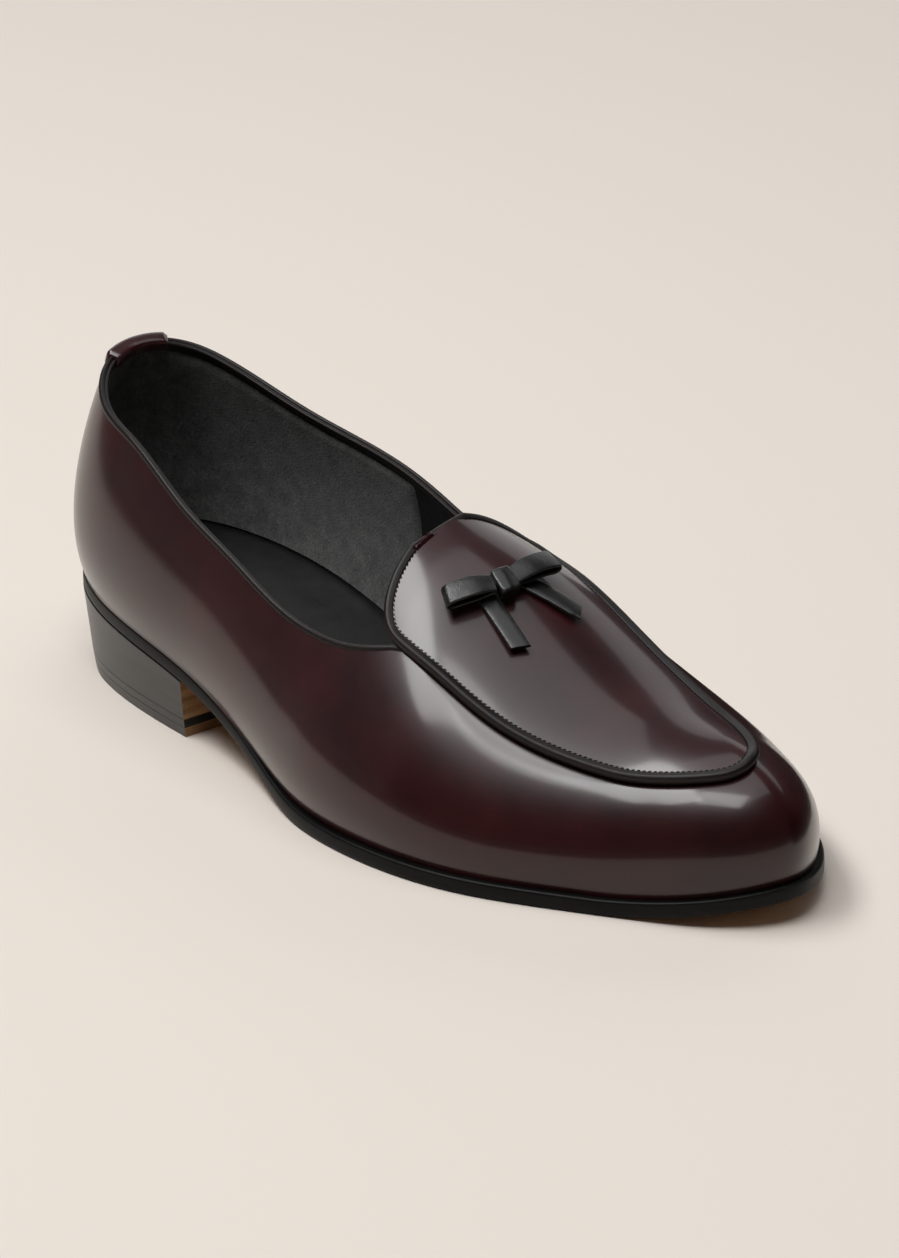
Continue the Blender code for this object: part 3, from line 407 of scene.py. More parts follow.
@dataclass
class Skin:
    """Points and faces of one piece, in millimetres from the back of the heel."""

    points: list = field(default_factory=list)
    faces: list = field(default_factory=list)
    kinds: list = field(default_factory=list)
    count: int = 0

    def add(self, points: Array) -> Array:
        """Adds points and returns their numbers, in the same arrangement."""
        points = np.asarray(points, float)
        self.points.append(points.reshape(-1, 3))
        numbers = np.arange(self.count, self.count + points.size // 3)
        self.count += len(numbers)
        return numbers.reshape(points.shape[:-1])

    def face(self, corners: Iterable[int], kind: int = 0) -> None:
        """Adds a face, without the corners that fall together."""
        corners = list(corners)
        kept = [c for i, c in enumerate(corners) if c != corners[i - 1]]
        if len(kept) > 2:
            self.faces.append(kept)
            self.kinds.append(kind)

    def grid(self, rows: Array, kind: int = 0, round_row: bool = False, round_rows: bool = False) -> None:
        """Adds the faces between rows of points.

        Args:
            rows: numbers of the points, one row after another.
            kind: which of the piece's finishes the faces take.
            round_row: whether each row's end joins its start.
            round_rows: whether the last row joins the first.
        """
        rows = np.concatenate([rows, rows[:, :1]], axis=1) if round_row else rows
        rows = np.concatenate([rows, rows[:1]]) if round_rows else rows
        quads = np.stack([rows[:-1, :-1], rows[:-1, 1:], rows[1:, 1:], rows[1:, :-1]], -1)
        for quad in quads.reshape(-1, 4).tolist():
            self.face(quad, kind)

    def smooth(self, held: Array, rounds: int) -> None:
        """Evens out the mesh without shrinking it, apart from held points."""
        points = np.concatenate(self.points)
        pairs = np.array([(a, b) for f in self.faces for a, b in zip(f, f[1:] + f[:1])])
        pairs = np.unique(np.sort(pairs, axis=1), axis=0)
        one, two = np.concatenate([pairs, pairs[:, ::-1]]).T
        near = np.maximum(np.bincount(one, minlength=len(points)), 1)[:, None]
        free = np.ones((len(points), 1))
        free[held] = 0.0
        for step in range(2 * rounds):
            total = np.zeros_like(points)
            np.add.at(total, one, points[two])
            points = points + free * (total / near - points) * (0.5 if step % 2 == 0 else -0.52)
        self.points = [points]

    def build(self, name: str, finishes: Sequence[bpy.types.Material], wall: float = 0.0,
              sharp: float = 50.0) -> bpy.types.Object:
        """Makes the object.

        Args:
            name: the piece's name.
            finishes: its materials, in the order of the faces' kinds.
            wall: if above 0, the skin is open, faces outwards and gets this thickness inwards.
            sharp: faces that meet at more than this angle, in degrees, keep a sharp edge.

        Returns:
            The object at the origin, with its place in its mesh.
        """
        mesh = bpy.data.meshes.new(name)
        mesh.from_pydata(((np.concatenate(self.points) - HEEL_TO_MIDDLE) * MM).tolist(), [], self.faces)
        mesh.polygons.foreach_set("material_index", self.kinds)
        for finish in finishes:
            mesh.materials.append(finish)
        work = bmesh.new()
        work.from_mesh(mesh)
        bmesh.ops.remove_doubles(work, verts=work.verts, dist=1e-6)
        if wall == 0.0:
            bmesh.ops.recalc_face_normals(work, faces=work.faces)
            if work.calc_volume(signed=True) < 0:
                bmesh.ops.reverse_faces(work, faces=work.faces)
        work.to_mesh(mesh)
        work.free()
        made = bpy.data.objects.new(name, mesh)
        bpy.context.scene.collection.objects.link(made)
        if wall > 0.0:
            shell = made.modifiers.new("thickness", "SOLIDIFY")
            shell.thickness, shell.offset, shell.use_even_offset = wall * MM, -1.0, False
            freeze(made)
        made.data.shade_smooth()
        made.data.set_sharp_from_angle(angle=math.radians(sharp))
        return made


def freeze(piece: bpy.types.Object) -> None:
    """Puts what the piece's modifiers make into its own mesh and removes them."""
    shown = piece.evaluated_get(bpy.context.evaluated_depsgraph_get())
    mesh = bpy.data.meshes.new_from_object(shown)
    mesh.name = piece.name
    piece.modifiers.clear()
    piece.data = mesh


def swept(name: str, finish: bpy.types.Material, path: Array, side: Array, up: Array, sections: Array,
          closed: bool = False, sharp: float = 60.0) -> bpy.types.Object:
    """A closed solid whose section follows a path.

    Args:
        name: the piece's name.
        finish: its material.
        path: points of the path.
        side: the direction that a section's first number counts along, at each point.
        up: and its second number.
        sections: for each point of the path, the (side, up) places of the section's corners.
        closed: whether the path comes round.
        sharp: angle of a sharp edge, in degrees.

    Returns:
        The object.
    """
    skin = Skin()
    s, t = sections[..., :1], sections[..., 1:]
    rows = skin.add(path[:, None] + side[:, None] * s + up[:, None] * t)
    skin.grid(rows, round_row=True, round_rows=closed)
    if not closed:
        skin.face(rows[0])
        skin.face(rows[-1])
    return skin.build(name, [finish], sharp=sharp)


def rounded(points: Sequence[tuple[float, float]], steps: int = 3, share: float = 0.35) -> Array:
    """A closed outline with its corners rounded.

    Args:
        points: the outline's corners.
        steps: points along each rounded corner, less one.
        share: how much of the shorter side next to a corner its rounding takes.

    Returns:
        The outline's points.
    """
    corners = np.array(points, float)
    made = []
    for before, here, after in zip(np.roll(corners, 1, 0), corners, np.roll(corners, -1, 0)):
        reach = share * min(np.linalg.norm(before - here), np.linalg.norm(after - here))
        start = here + unit(before - here) * reach
        end = here + unit(after - here) * reach
        for t in np.linspace(0.0, 1.0, steps + 1):
            made.append(start * (1 - t) ** 2 + 2 * here * t * (1 - t) + end * t * t)
    return np.array(made)


# Finishes

def linear(code: str) -> tuple[float, float, float, float]:
    """An sRGB hex colour as linear red, green, blue and 1."""
    parts = [int(code[i:i + 2], 16) / 255 for i in (1, 3, 5)]
    parts = [c / 12.92 if c <= 0.04045 else ((c + 0.055) / 1.055) ** 2.4 for c in parts]
    return (*parts, 1.0)


def per_metre(size_mm: float) -> float:
    """A pattern's scale from the size of its cells."""
    return 1.0 / (size_mm * MM)


def add_node(tree: bpy.types.NodeTree, kind: str, settings: dict | None = None,
             inputs: dict | None = None) -> bpy.types.Node:
    """Adds a node.

    Args:
        tree: the tree that it goes into.
        kind: its type.
        settings: its own settings by name.
        inputs: by name or number, a value for a socket or another node's socket to link.

    Returns:
        The node.
    """
    node = tree.nodes.new(kind)
    for name, value in (settings or {}).items():
        setattr(node, name, value)
    for name, value in (inputs or {}).items():
        if isinstance(value, bpy.types.NodeSocket):
            tree.links.new(value, node.inputs[name])
        else:
            node.inputs[name].default_value = value
    return node


@dataclass(frozen=True)
class Coat:
    """A clear layer over a surface."""

    weight: float = 0.0
    roughness: float = 0.1


@dataclass(frozen=True)
class Leather:
    """Tanned leather: a mottled dye, a grain and the slow waves of a skin that was stretched."""

    name: str
    deep: str
    light: str
    roughness: float
    roughness_change: float = 0.03
    coat: Coat = Coat()
    specular: float = 0.5
    mottle_mm: float = 24.0
    grain_mm: float = 0.9
    grain_height_mm: float = 0.004
    wave_mm: float = 16.0
    wave_height_mm: float = 0.02
    sheen: float = 0.0

    def material(self) -> bpy.types.Material:
        """Builds the material."""
        made, tree, place, shader = new_material(self.name)
        mottle = add_node(tree, "ShaderNodeTexNoise", inputs={
            "Vector": place, "Scale": per_metre(self.mottle_mm), "Detail": 4.0, "Roughness": 0.55})
        spread = add_node(tree, "ShaderNodeMapRange", inputs={
            "Value": mottle.outputs["Fac"], "From Min": 0.3, "From Max": 0.7})
        dye = add_node(tree, "ShaderNodeMix", {"data_type": "RGBA"}, {
            "Factor": spread.outputs["Result"], MIX_A: linear(self.deep), MIX_B: linear(self.light)})
        polish = add_node(tree, "ShaderNodeMapRange", inputs={
            "Value": mottle.outputs["Fac"], "From Min": 0.3, "From Max": 0.7,
            "To Min": self.roughness - self.roughness_change,
            "To Max": self.roughness + self.roughness_change})
        grain = add_node(tree, "ShaderNodeTexVoronoi", inputs={
            "Vector": place, "Scale": per_metre(self.grain_mm)})
        fine = add_node(tree, "ShaderNodeBump", inputs={
            "Strength": 1.0, "Distance": self.grain_height_mm * MM, "Height": grain.outputs["Distance"]})
        wave = add_node(tree, "ShaderNodeTexNoise", inputs={
            "Vector": place, "Scale": per_metre(self.wave_mm), "Detail": 2.0, "Roughness": 0.4})
        slow = add_node(tree, "ShaderNodeBump", inputs={
            "Strength": 1.0, "Distance": self.wave_height_mm * MM, "Height": wave.outputs["Fac"],
            "Normal": fine.outputs["Normal"]})
        set_shader(shader, tree, {
            "Base Color": dye.outputs[MIX_OUT], "Roughness": polish.outputs["Result"],
            "Specular IOR Level": self.specular, "Coat Weight": self.coat.weight, "Coat Roughness": self.coat.roughness,
            "Sheen Weight": self.sheen, "Normal": slow.outputs["Normal"],
            "Coat Normal": slow.outputs["Normal"]})
        return made


@dataclass(frozen=True)
class Suede:
    """Leather with its flesh side raised: a short nap that lies in patches and catches light."""

    name: str
    deep: str
    light: str
    nap_mm: float = 0.5
    nap_height_mm: float = 0.15
    patch_mm: float = 7.0

    def material(self) -> bpy.types.Material:
        """Builds the material."""
        made, tree, place, shader = new_material(self.name)
        patch = add_node(tree, "ShaderNodeTexNoise", inputs={
            "Vector": place, "Scale": per_metre(self.patch_mm), "Detail": 5.0, "Roughness": 0.65})
        nap = add_node(tree, "ShaderNodeTexNoise", inputs={
            "Vector": place, "Scale": per_metre(self.nap_mm), "Detail": 3.0, "Roughness": 0.7})
        both = add_node(tree, "ShaderNodeMath", {"operation": "MULTIPLY"}, {
            0: patch.outputs["Fac"], 1: nap.outputs["Fac"]})
        spread = add_node(tree, "ShaderNodeMapRange", inputs={
            "Value": both.outputs["Value"], "From Min": 0.12, "From Max": 0.42})
        dye = add_node(tree, "ShaderNodeMix", {"data_type": "RGBA"}, {
            "Factor": spread.outputs["Result"], MIX_A: linear(self.deep), MIX_B: linear(self.light)})
        relief = add_node(tree, "ShaderNodeBump", inputs={
            "Strength": 1.0, "Distance": self.nap_height_mm * MM, "Height": nap.outputs["Fac"]})
        set_shader(shader, tree, {
            "Base Color": dye.outputs[MIX_OUT], "Roughness": 0.95, "Sheen Weight": 0.25,
            "Sheen Roughness": 0.6, "Normal": relief.outputs["Normal"]})
        return made


@dataclass(frozen=True)
class LayeredLeather:
    """The trimmed edge of leather: fibres in layers that lie flat, bare or under ink."""

    name: str
    deep: str
    light: str
    roughness: float
    layer_mm: float
    fibre_mm: float = 0.5
    relief_mm: float = 0.03
    specular: float = 0.5
    coat: Coat = Coat()

    def material(self) -> bpy.types.Material:
        """Builds the material."""
        made, tree, place, shader = new_material(self.name)
        flat = add_node(tree, "ShaderNodeMapping", inputs={
            "Vector": place, "Scale": (0.08, 0.08, 1.0)})
        layers = add_node(tree, "ShaderNodeTexNoise", inputs={
            "Vector": flat.outputs["Vector"], "Scale": per_metre(self.layer_mm), "Detail": 3.0})
        fibres = add_node(tree, "ShaderNodeTexNoise", inputs={
            "Vector": place, "Scale": per_metre(self.fibre_mm), "Detail": 2.0})
        both = add_node(tree, "ShaderNodeMix", {"data_type": "FLOAT"}, {
            0: 0.3, 2: layers.outputs["Fac"], 3: fibres.outputs["Fac"]})
        spread = add_node(tree, "ShaderNodeMapRange", inputs={
            "Value": both.outputs[0], "From Min": 0.35, "From Max": 0.65})
        dye = add_node(tree, "ShaderNodeMix", {"data_type": "RGBA"}, {
            "Factor": spread.outputs["Result"], MIX_A: linear(self.deep), MIX_B: linear(self.light)})
        relief = add_node(tree, "ShaderNodeBump", inputs={
            "Strength": 1.0, "Distance": self.relief_mm * MM, "Height": both.outputs[0]})
        set_shader(shader, tree, {
            "Base Color": dye.outputs[MIX_OUT], "Roughness": self.roughness,
            "Specular IOR Level": self.specular, "Coat Weight": self.coat.weight, "Coat Roughness": self.coat.roughness,
            "Normal": relief.outputs["Normal"]})
        return made


@dataclass(frozen=True)
class WaxedThread:
    """Waxed linen thread: dark, slightly shiny, with the twist of its plies across it."""

    name: str
    colour: str
    light: str
    ply_mm: float = 0.35

    def material(self) -> bpy.types.Material:
        """Builds the material."""
        made, tree, place, shader = new_material(self.name)
        plies = add_node(tree, "ShaderNodeTexNoise", inputs={
            "Vector": place, "Scale": per_metre(self.ply_mm), "Detail": 1.0})
        dye = add_node(tree, "ShaderNodeMix", {"data_type": "RGBA"}, {
            "Factor": plies.outputs["Fac"], MIX_A: linear(self.colour), MIX_B: linear(self.light)})
        set_shader(shader, tree, {"Base Color": dye.outputs[MIX_OUT], "Roughness": 0.7,
                                  "Specular IOR Level": 0.2})
        return made


def new_material(name: str) -> tuple:
    """An empty material, its tree, its Object coordinates and its Principled shader."""
    made = bpy.data.materials.new(name)
    made.use_nodes = True
    tree = made.node_tree
    place = add_node(tree, "ShaderNodeTexCoord").outputs["Object"]
    return made, tree, place, tree.nodes["Principled BSDF"]


def set_shader(shader: bpy.types.Node, tree: bpy.types.NodeTree, inputs: dict) -> None:
    """Sets or links the shader's sockets by name."""
    for name, value in inputs.items():
        if isinstance(value, bpy.types.NodeSocket):
            tree.links.new(value, shader.inputs[name])
        else:
            shader.inputs[name].default_value = value


# Box calf, aniline dyed and wax polished: near black wine red, with a mirror over a soft sheen
BURGUNDY_CALF = Leather("polished_burgundy_calf", "#200508", "#320a0e", 0.34,
                        coat=Coat(0.6, 0.12), specular=0.3, mottle_mm=26.0, grain_mm=0.8,
                        grain_height_mm=0.0015, wave_mm=18.0, wave_height_mm=0.03)
# Thin black kid for the edges: a satin black with a brown cast where it is stretched
BINDING_KID = Leather("black_binding_kid", "#0e0909", "#1b1110", 0.46, coat=Coat(0.05, 0.3),
                      specular=0.28, mottle_mm=9.0, grain_mm=0.6, grain_height_mm=0.02, wave_mm=6.0,
                      wave_height_mm=0.03)
# The bow's strap leather: satin black with a fine grain that shows in its highlights
BOW_STRAP = Leather("black_bow_strap", "#060606", "#101010", 0.36, coat=Coat(0.25, 0.2),
                    specular=0.4, mottle_mm=6.0, grain_mm=0.4, grain_height_mm=0.035, wave_mm=2.5,
                    wave_height_mm=0.09)
# Smooth lining sheepskin: flat black, a little dusty
LINING_SKIN = Leather("black_lining_sheepskin", "#0e0d0d", "#1a1919", 0.55, mottle_mm=12.0,
                      grain_mm=1.1, grain_height_mm=0.03, wave_mm=9.0, wave_height_mm=0.08)
# Reversed calf at the heel, with a nap: dark grey with lighter patches
HEEL_GRIP_SUEDE = Suede("grey_heel_grip_suede", "#191a19", "#5c5f5b", nap_mm=0.7,
                        nap_height_mm=0.3, patch_mm=5.0)
# Edge of the leather sole, inked and hot waxed: black satin
EDGE_INK = LayeredLeather("inked_sole_edge", "#080808", "#121212", 0.44, 1.6,
                          relief_mm=0.02, specular=0.15)
# The heel's stack under the same ink: its layers show faintly, and it is greyer where it is worn
HEEL_INK = LayeredLeather("inked_heel_stack", "#1c1c1c", "#2d2e2d", 0.42, 3.2,
                          relief_mm=0.015, coat=Coat(0.25, 0.3))
# Oak bark tanned leather left bare: warm brown, fibrous
BARE_SOLE = LayeredLeather("bare_oak_bark_leather", "#6d4a2c", "#a8845a", 0.72, 2.6)
# Black rubber lift
LIFT_RUBBER = LayeredLeather("black_rubber_lift", "#0b0b0b", "#151515", 0.5, 1.2)
STITCH_THREAD = WaxedThread("black_waxed_thread", "#050505", "#121010")


# The upper

@dataclass(frozen=True)
class Crease:
    """A soft trough across the leather, or a swell where the depth is below 0."""

    start: tuple[float, float, float]
    end: tuple[float, float, float]
    width: float
    depth: float

    def depth_at(self, points: Array) -> Array:
        """How far the leather sinks at points."""
        start, end = np.array(self.start), np.array(self.end)
        line = end - start
        share = np.clip(((points - start) @ line) / (line @ line), 0.0, 1.0)
        away = np.linalg.norm(points - start - share[..., None] * line, axis=-1)
        fade = np.sin(math.pi * np.clip(0.15 + 0.7 * share, 0.0, 1.0))
        return self.depth * fade * np.exp(-((away / self.width) ** 2))


@dataclass
class Upper:
    """Wall and apron in polished calf, each with its lining."""

    cutting: Cutting
    leather: float = 1.0
    lining: float = 0.9
    wall_rows: int = 56
    apron_rows: int = 26
    tuck: float = 0.9  # the wall goes this far below the feather line, behind the sole's edge
    topline_lift: float = 1.7  # the wall reaches this far up inside the topline's binding
    throat_ease: float = 9.0
    seam_dip: float = 0.7  # the wall is pulled down this much where the apron is sewn to it
    seam_dip_width: float = 2.0
    pole_held: float = 9.0  # the tongue keeps its shape this near to its rear end
    creases: tuple[Crease, ...] = ()

    def edge_lift(self) -> Array:
        """How far the wall reaches above its cut edge, at each column."""
        cut = self.cutting
        edge = cut.pattern.last.point(cut.u, cut.wall_v)
        length = lengths_along(edge)
        ahead = np.arange(cut.count) <= cut.throat_l
        away = np.where(ahead, length[cut.throat_l] - length, length - length[cut.throat_m])
        return self.topline_lift * ease(away / self.throat_ease)

    def wall_skin(self, depth: float, sunk: bool) -> Array:
        """Points of the wall, in rows from the sole to its upper edge.

        Args:
            depth: how far under the outside they lie.
            sunk: whether they follow the leather's creases and the pull of the seam.

        Returns:
            The rows of points.
        """
        cut, last = self.cutting, self.cutting.pattern.last
        v = cut.wall_v * np.linspace(0.0, 1.0, self.wall_rows + 1)[:, None]
        u = np.broadcast_to(cut.u, v.shape)
        base = last.point(u, v)
        out, up = last.directions(u, v)
        sink = np.full(v.shape, depth)
        if sunk:
            steps = np.linalg.norm(np.diff(base, axis=0), axis=-1)
            below = np.concatenate([np.cumsum(steps[::-1], axis=0)[::-1], np.zeros((1, cut.count))])
            column = np.arange(cut.count)
            inside = np.minimum(column - cut.throat_l, cut.throat_m - column)
            pull = self.seam_dip * ease(inside / 12.0)
            sink = sink + pull * np.exp(-((below / self.seam_dip_width) ** 2))
            sink = sink + sum(crease.depth_at(base) for crease in self.creases)
        points = base - out * sink[..., None]
        foot = points[0] - (0.0, 0.0, self.tuck)
        top = points[-1] + up[-1] * self.edge_lift()[:, None]
        half = points[-1] + up[-1] * 0.5 * self.edge_lift()[:, None]
        return np.concatenate([foot[None], points, half[None], top[None]])

    def make_wall(self, finish: bpy.types.Material) -> bpy.types.Object:
        """The burgundy wall, from the heel round the toe."""
        skin = Skin()
        skin.grid(skin.add(self.wall_skin(0.0, True)), round_row=True)
        return skin.build("wall_leather", [finish], wall=self.leather)

    def make_wall_lining(self, finish: bpy.types.Material) -> bpy.types.Object:
        """The lining inside the wall, which faces the foot."""
        skin = Skin()
        skin.grid(skin.add(self.wall_skin(self.leather + self.lining, False))[::-1], round_row=True)
        return skin.build("wall_lining", [finish], wall=self.lining - 0.05)

    def apron_skin(self, rise: float, downwards: bool, sunk: bool) -> Skin:
        """The apron and its tongue as one sheet.

        Args:
            rise: how far over the last it lies.
            downwards: whether its faces look into the shoe.
            sunk: whether it follows the leather's creases.

        Returns:
            The open skin.
        """
        cut, last = self.cutting, self.cutting.pattern.last
        columns = np.arange(cut.pole_l, cut.pole_m + 1)
        u = cut.u[columns]
        share = np.linspace(0.0, 1.0, self.apron_rows + 1)[:, None]
        v = cut.apron_v[columns] + (1 - cut.apron_v[columns]) * share
        line = np.broadcast_to(u, v.shape)
        base = last.point(line, v)
        out, _ = last.directions(line, v)
        base[-1] = (base[-1] + base[-1][::-1]) / 2
        out[-1] = unit(out[-1] + out[-1][::-1])
        sink = sum(crease.depth_at(base) for crease in self.creases) if sunk else 0.0
        points = base + out * (rise - np.broadcast_to(sink, v.shape))[..., None]
        points[:, [0, -1]] = points[-1, 0]
        skin = Skin()
        numbers = skin.add(points)
        numbers[-1] = np.minimum(numbers[-1], numbers[-1][::-1])
        numbers[:, [0, -1]] = numbers[-1, 0]
        skin.grid(numbers[::-1] if downwards else numbers)
        used = np.unique(np.concatenate([np.ravel(face) for face in skin.faces]))
        unused = np.setdiff1d(np.arange(skin.count), used)
        by_pole = numbers[np.linalg.norm(points - points[-1, 0], axis=-1) < self.pole_held]
        skin.smooth(np.concatenate([numbers[0], unused, by_pole]), 30)
        kept = np.full(skin.count, -1)
        kept[used] = np.arange(len(used))
        skin.points = [np.concatenate(skin.points)[used]]
        skin.faces = [[int(kept[c]) for c in face] for face in skin.faces]
        skin.count = len(used)
        return skin

    def make_apron(self, finish: bpy.types.Material) -> bpy.types.Object:
        """The burgundy apron with its free tongue."""
        rise = self.cutting.pattern.apron_rise
        return self.apron_skin(rise, False, True).build("apron_leather", [finish], wall=self.leather)

    def make_apron_lining(self, finish: bpy.types.Material) -> bpy.types.Object:
        """The lining under the apron and the tongue."""
        rise = self.cutting.pattern.apron_rise - self.leather - self.lining
        return self.apron_skin(rise, True, False).build("apron_lining", [finish], wall=self.lining - 0.05)


@dataclass
class HeelGrip:
    """A patch of suede on the lining round the back of the heel."""

    cutting: Cutting
    wing_x: float = 104.0  # how far forward it reaches
    below_edge: float = 0.6
    thickness: float = 0.7
    rows: int = 30

    def make(self, finish: bpy.types.Material) -> bpy.types.Object:
        """The grip, closed all round, with its edges pressed into the lining."""
        cut, last = self.cutting, self.cutting.pattern.last
        x = last.sections(cut.u)[:, 0]
        lateral = np.flatnonzero((x < self.wing_x) & (cut.u < last.toe_u))
        medial = np.flatnonzero((x < self.wing_x) & (cut.u > last.toe_u))
        columns = np.concatenate([medial, lateral])
        u = cut.u[columns]
        edge = last.point(u, cut.wall_v[columns])
        height = np.linalg.norm(edge - last.point(u, 0 * u), axis=1)
        top = cut.wall_v[columns] * (1 - self.below_edge / height)
        low = 0.05 * top
        share = np.linspace(0.0, 1.0, self.rows + 1)[:, None]
        v = low + (top - low) * share
        line = np.broadcast_to(u, v.shape)
        base = last.point(line, v)
        out, _ = last.directions(line, v)
        from_top = np.linalg.norm(base - base[-1], axis=-1)
        column = np.arange(len(columns))
        from_side = np.minimum(column, len(columns) - 1 - column) * 0.8
        proud = self.thickness * ease(np.minimum(from_top, from_side + 0 * from_top) / 1.2)
        skin = Skin()
        points = base - out * (1.85 + proud)[..., None]
        skin.grid(skin.add(points)[::-1])
        return skin.build("heel_grip", [finish], wall=0.4)


# Edges that follow the cut leather

def evened(points: Array, closed: bool, rounds: int = 4) -> Array:
    """A path with the unevenness of its sampling taken out."""
    for _ in range(rounds):
        mixed = (np.roll(points, 1, axis=0) + 2 * points + np.roll(points, -1, axis=0)) / 4
        if not closed:
            mixed[[0, -1]] = points[[0, -1]]
        points = mixed
    return points


@dataclass
class Topline:
    """The rolled edge round the collar, from throat to throat, and the tab over the heel."""

    upper: Upper
    outer: Sequence = (  # a roll outside, a groove and the lining's thinner roll inside
        (1.0, -0.7), (1.32, -0.5), (1.55, 0.1), (1.5, 0.7), (1.15, 1.25), (0.6, 1.45), (0.12, 1.25),
        (-0.12, 0.92), (-0.35, 0.9), (-0.62, 1.1), (-1.0, 1.1), (-1.32, 0.8), (-1.45, 0.2),
        (-1.4, -0.5), (-1.0, -0.8),
    )
    tab_length: float = 22.0
    tab_thickness: float = 1.15
    tab_legs: tuple[float, float] = (10.0, -0.6)  # down the outside and down the inside
    tab_corner: float = 3.0

    def __post_init__(self) -> None:
        """Works out the path over the wall's cut edge."""
        cut = self.upper.cutting
        order = np.concatenate([np.arange(cut.throat_m, cut.count), np.arange(cut.throat_l + 1)])
        u, v = cut.u[order], cut.wall_v[order]
        self.out, self.up = cut.pattern.last.directions(u, v)
        self.path = evened(cut.pattern.last.point(u, v) - self.out * 1.0, closed=False)
        self.lift = self.upper.edge_lift()[order][:, None]
        below = cut.pattern.last.point(u, 0.88 * v) - cut.pattern.last.point(u, v)
        self.bend = (below * self.out).sum(axis=-1) / (below**2).sum(axis=-1)
        self.length = lengths_along(self.path)
        self.heel = self.length[cut.count - cut.throat_m]

    def make_binding(self, finish: bpy.types.Material) -> bpy.types.Object:
        """The black rolled edge."""
        section = rounded(self.outer, 2, 0.4)
        path = self.path + self.up * self.lift
        rows = np.broadcast_to(section, (len(path), *section.shape))
        return swept("rolled_topline", finish, path, self.out, self.up, rows)

    def tab_section(self, from_end: float) -> Array:
        """The tab's section: a strip folded over the edge, thinner and shorter at its ends."""
        wall = self.tab_thickness * (0.45 + 0.55 * float(ease(from_end / 1.2)))
        short = max(0.0, self.tab_corner - from_end) / self.tab_corner
        outer_leg, inner_leg = self.tab_legs
        outer_leg -= self.tab_corner * (1 - math.sqrt(max(0.0, 1 - short**2)))
        inner, top, hugging = 1.6, 3.2, 1.06
        return rounded([
            (-inner - wall, -inner_leg), (-inner, -inner_leg), (-inner, top), (inner, top), (inner, 0.6),
            (hugging, -1.8), (hugging, -outer_leg), (hugging + 0.5 * wall, -outer_leg),
            (hugging + 0.7 * wall, -2.0), (inner + wall, 0.8), (inner + wall, top + wall),
            (-inner - wall, top + wall),
        ], 3, 0.42)

    def make_tab(self, finish: bpy.types.Material) -> bpy.types.Object:
        """The burgundy tab folded over the back of the collar."""
        at = np.linspace(self.heel - self.tab_length / 2, self.heel + self.tab_length / 2, 61)
        path, side, up = [np.stack([np.interp(at, self.length, part[:, k]) for k in range(3)], -1)
                          for part in (self.path, self.out, self.up)]
        sections = np.array([self.tab_section(min(a - at[0], at[-1] - a)) for a in at])
        bend = np.interp(at, self.length, self.bend)
        sections[..., 0] += bend[:, None] * np.minimum(sections[..., 1], 0.0) ** 2
        return swept("folded_heel_tab", finish, path, unit(side), unit(up), sections, sharp=55.0)


@dataclass
class ApronEdge:
    """The piping over the apron's cut edge, which wraps all round where the tongue stands free."""

    cutting: Cutting
    free_from: tuple[float, float] = (4.0, 9.0)  # clearance over the wall where it starts to wrap
    stitch_inset: float = 1.0

    def __post_init__(self) -> None:
        """Works out the path along the apron's cut edge."""
        cut, last = self.cutting, self.cutting.pattern.last
        columns = np.arange(cut.pole_l, cut.pole_m)
        u, v = cut.u[columns], cut.apron_v[columns]
        self.path = evened(last.point(u, v), closed=True)
        self.out, _ = last.directions(u, v)
        along = unit(np.roll(self.path, -1, axis=0) - np.roll(self.path, 1, axis=0))
        away = unit(np.cross(along, self.out))
        middle = self.path.mean(axis=0)
        self.away = -away if (away * (self.path - middle)).sum() < 0 else away
        clear = np.linalg.norm(self.path - last.point(u, cut.wall_v[columns]), axis=1)
        start, end = self.free_from
        self.free = ease((clear - start) / (end - start))

    def make(self, finish: bpy.types.Material) -> bpy.types.Object:
        """The black piping."""
        seamed = np.array([
            (-0.75, 1.35), (-0.8, 1.75), (-0.35, 2.05), (0.15, 2.5), (0.75, 2.88), (1.5, 2.92),
            (2.2, 2.5), (2.62, 1.75), (2.68, 0.95), (2.45, 0.25), (1.9, -0.1), (0.8, -0.2), (-0.2, 0.4),
        ])
        wrapped = np.array([
            (-0.75, 1.35), (-0.8, 1.75), (-0.35, 2.0), (0.15, 2.3), (0.75, 2.5), (1.35, 2.4),
            (1.9, 1.85), (2.15, 1.0), (2.0, 0.1), (1.45, -0.6), (0.6, -0.85), (-0.4, -0.85), (-0.9, -0.45),
        ])
        free = self.free[:, None, None]
        outline = seamed * (1 - free) + wrapped * free
        sections = np.array([rounded(row, 1, 0.45) for row in outline])
        return swept("apron_piping", finish, self.path, self.away, self.out, sections, closed=True,
                     sharp=75.0)

    def stitch_line(self) -> tuple[Array, Array]:
        """A line on the apron just inside the piping, and the direction off it at each point."""
        line = self.path - self.away * self.stitch_inset
        rise = self.cutting.pattern.apron_rise
        line = line + self.out * rise
        return np.concatenate([line, line[:1]]), np.concatenate([self.out, self.out[:1]])


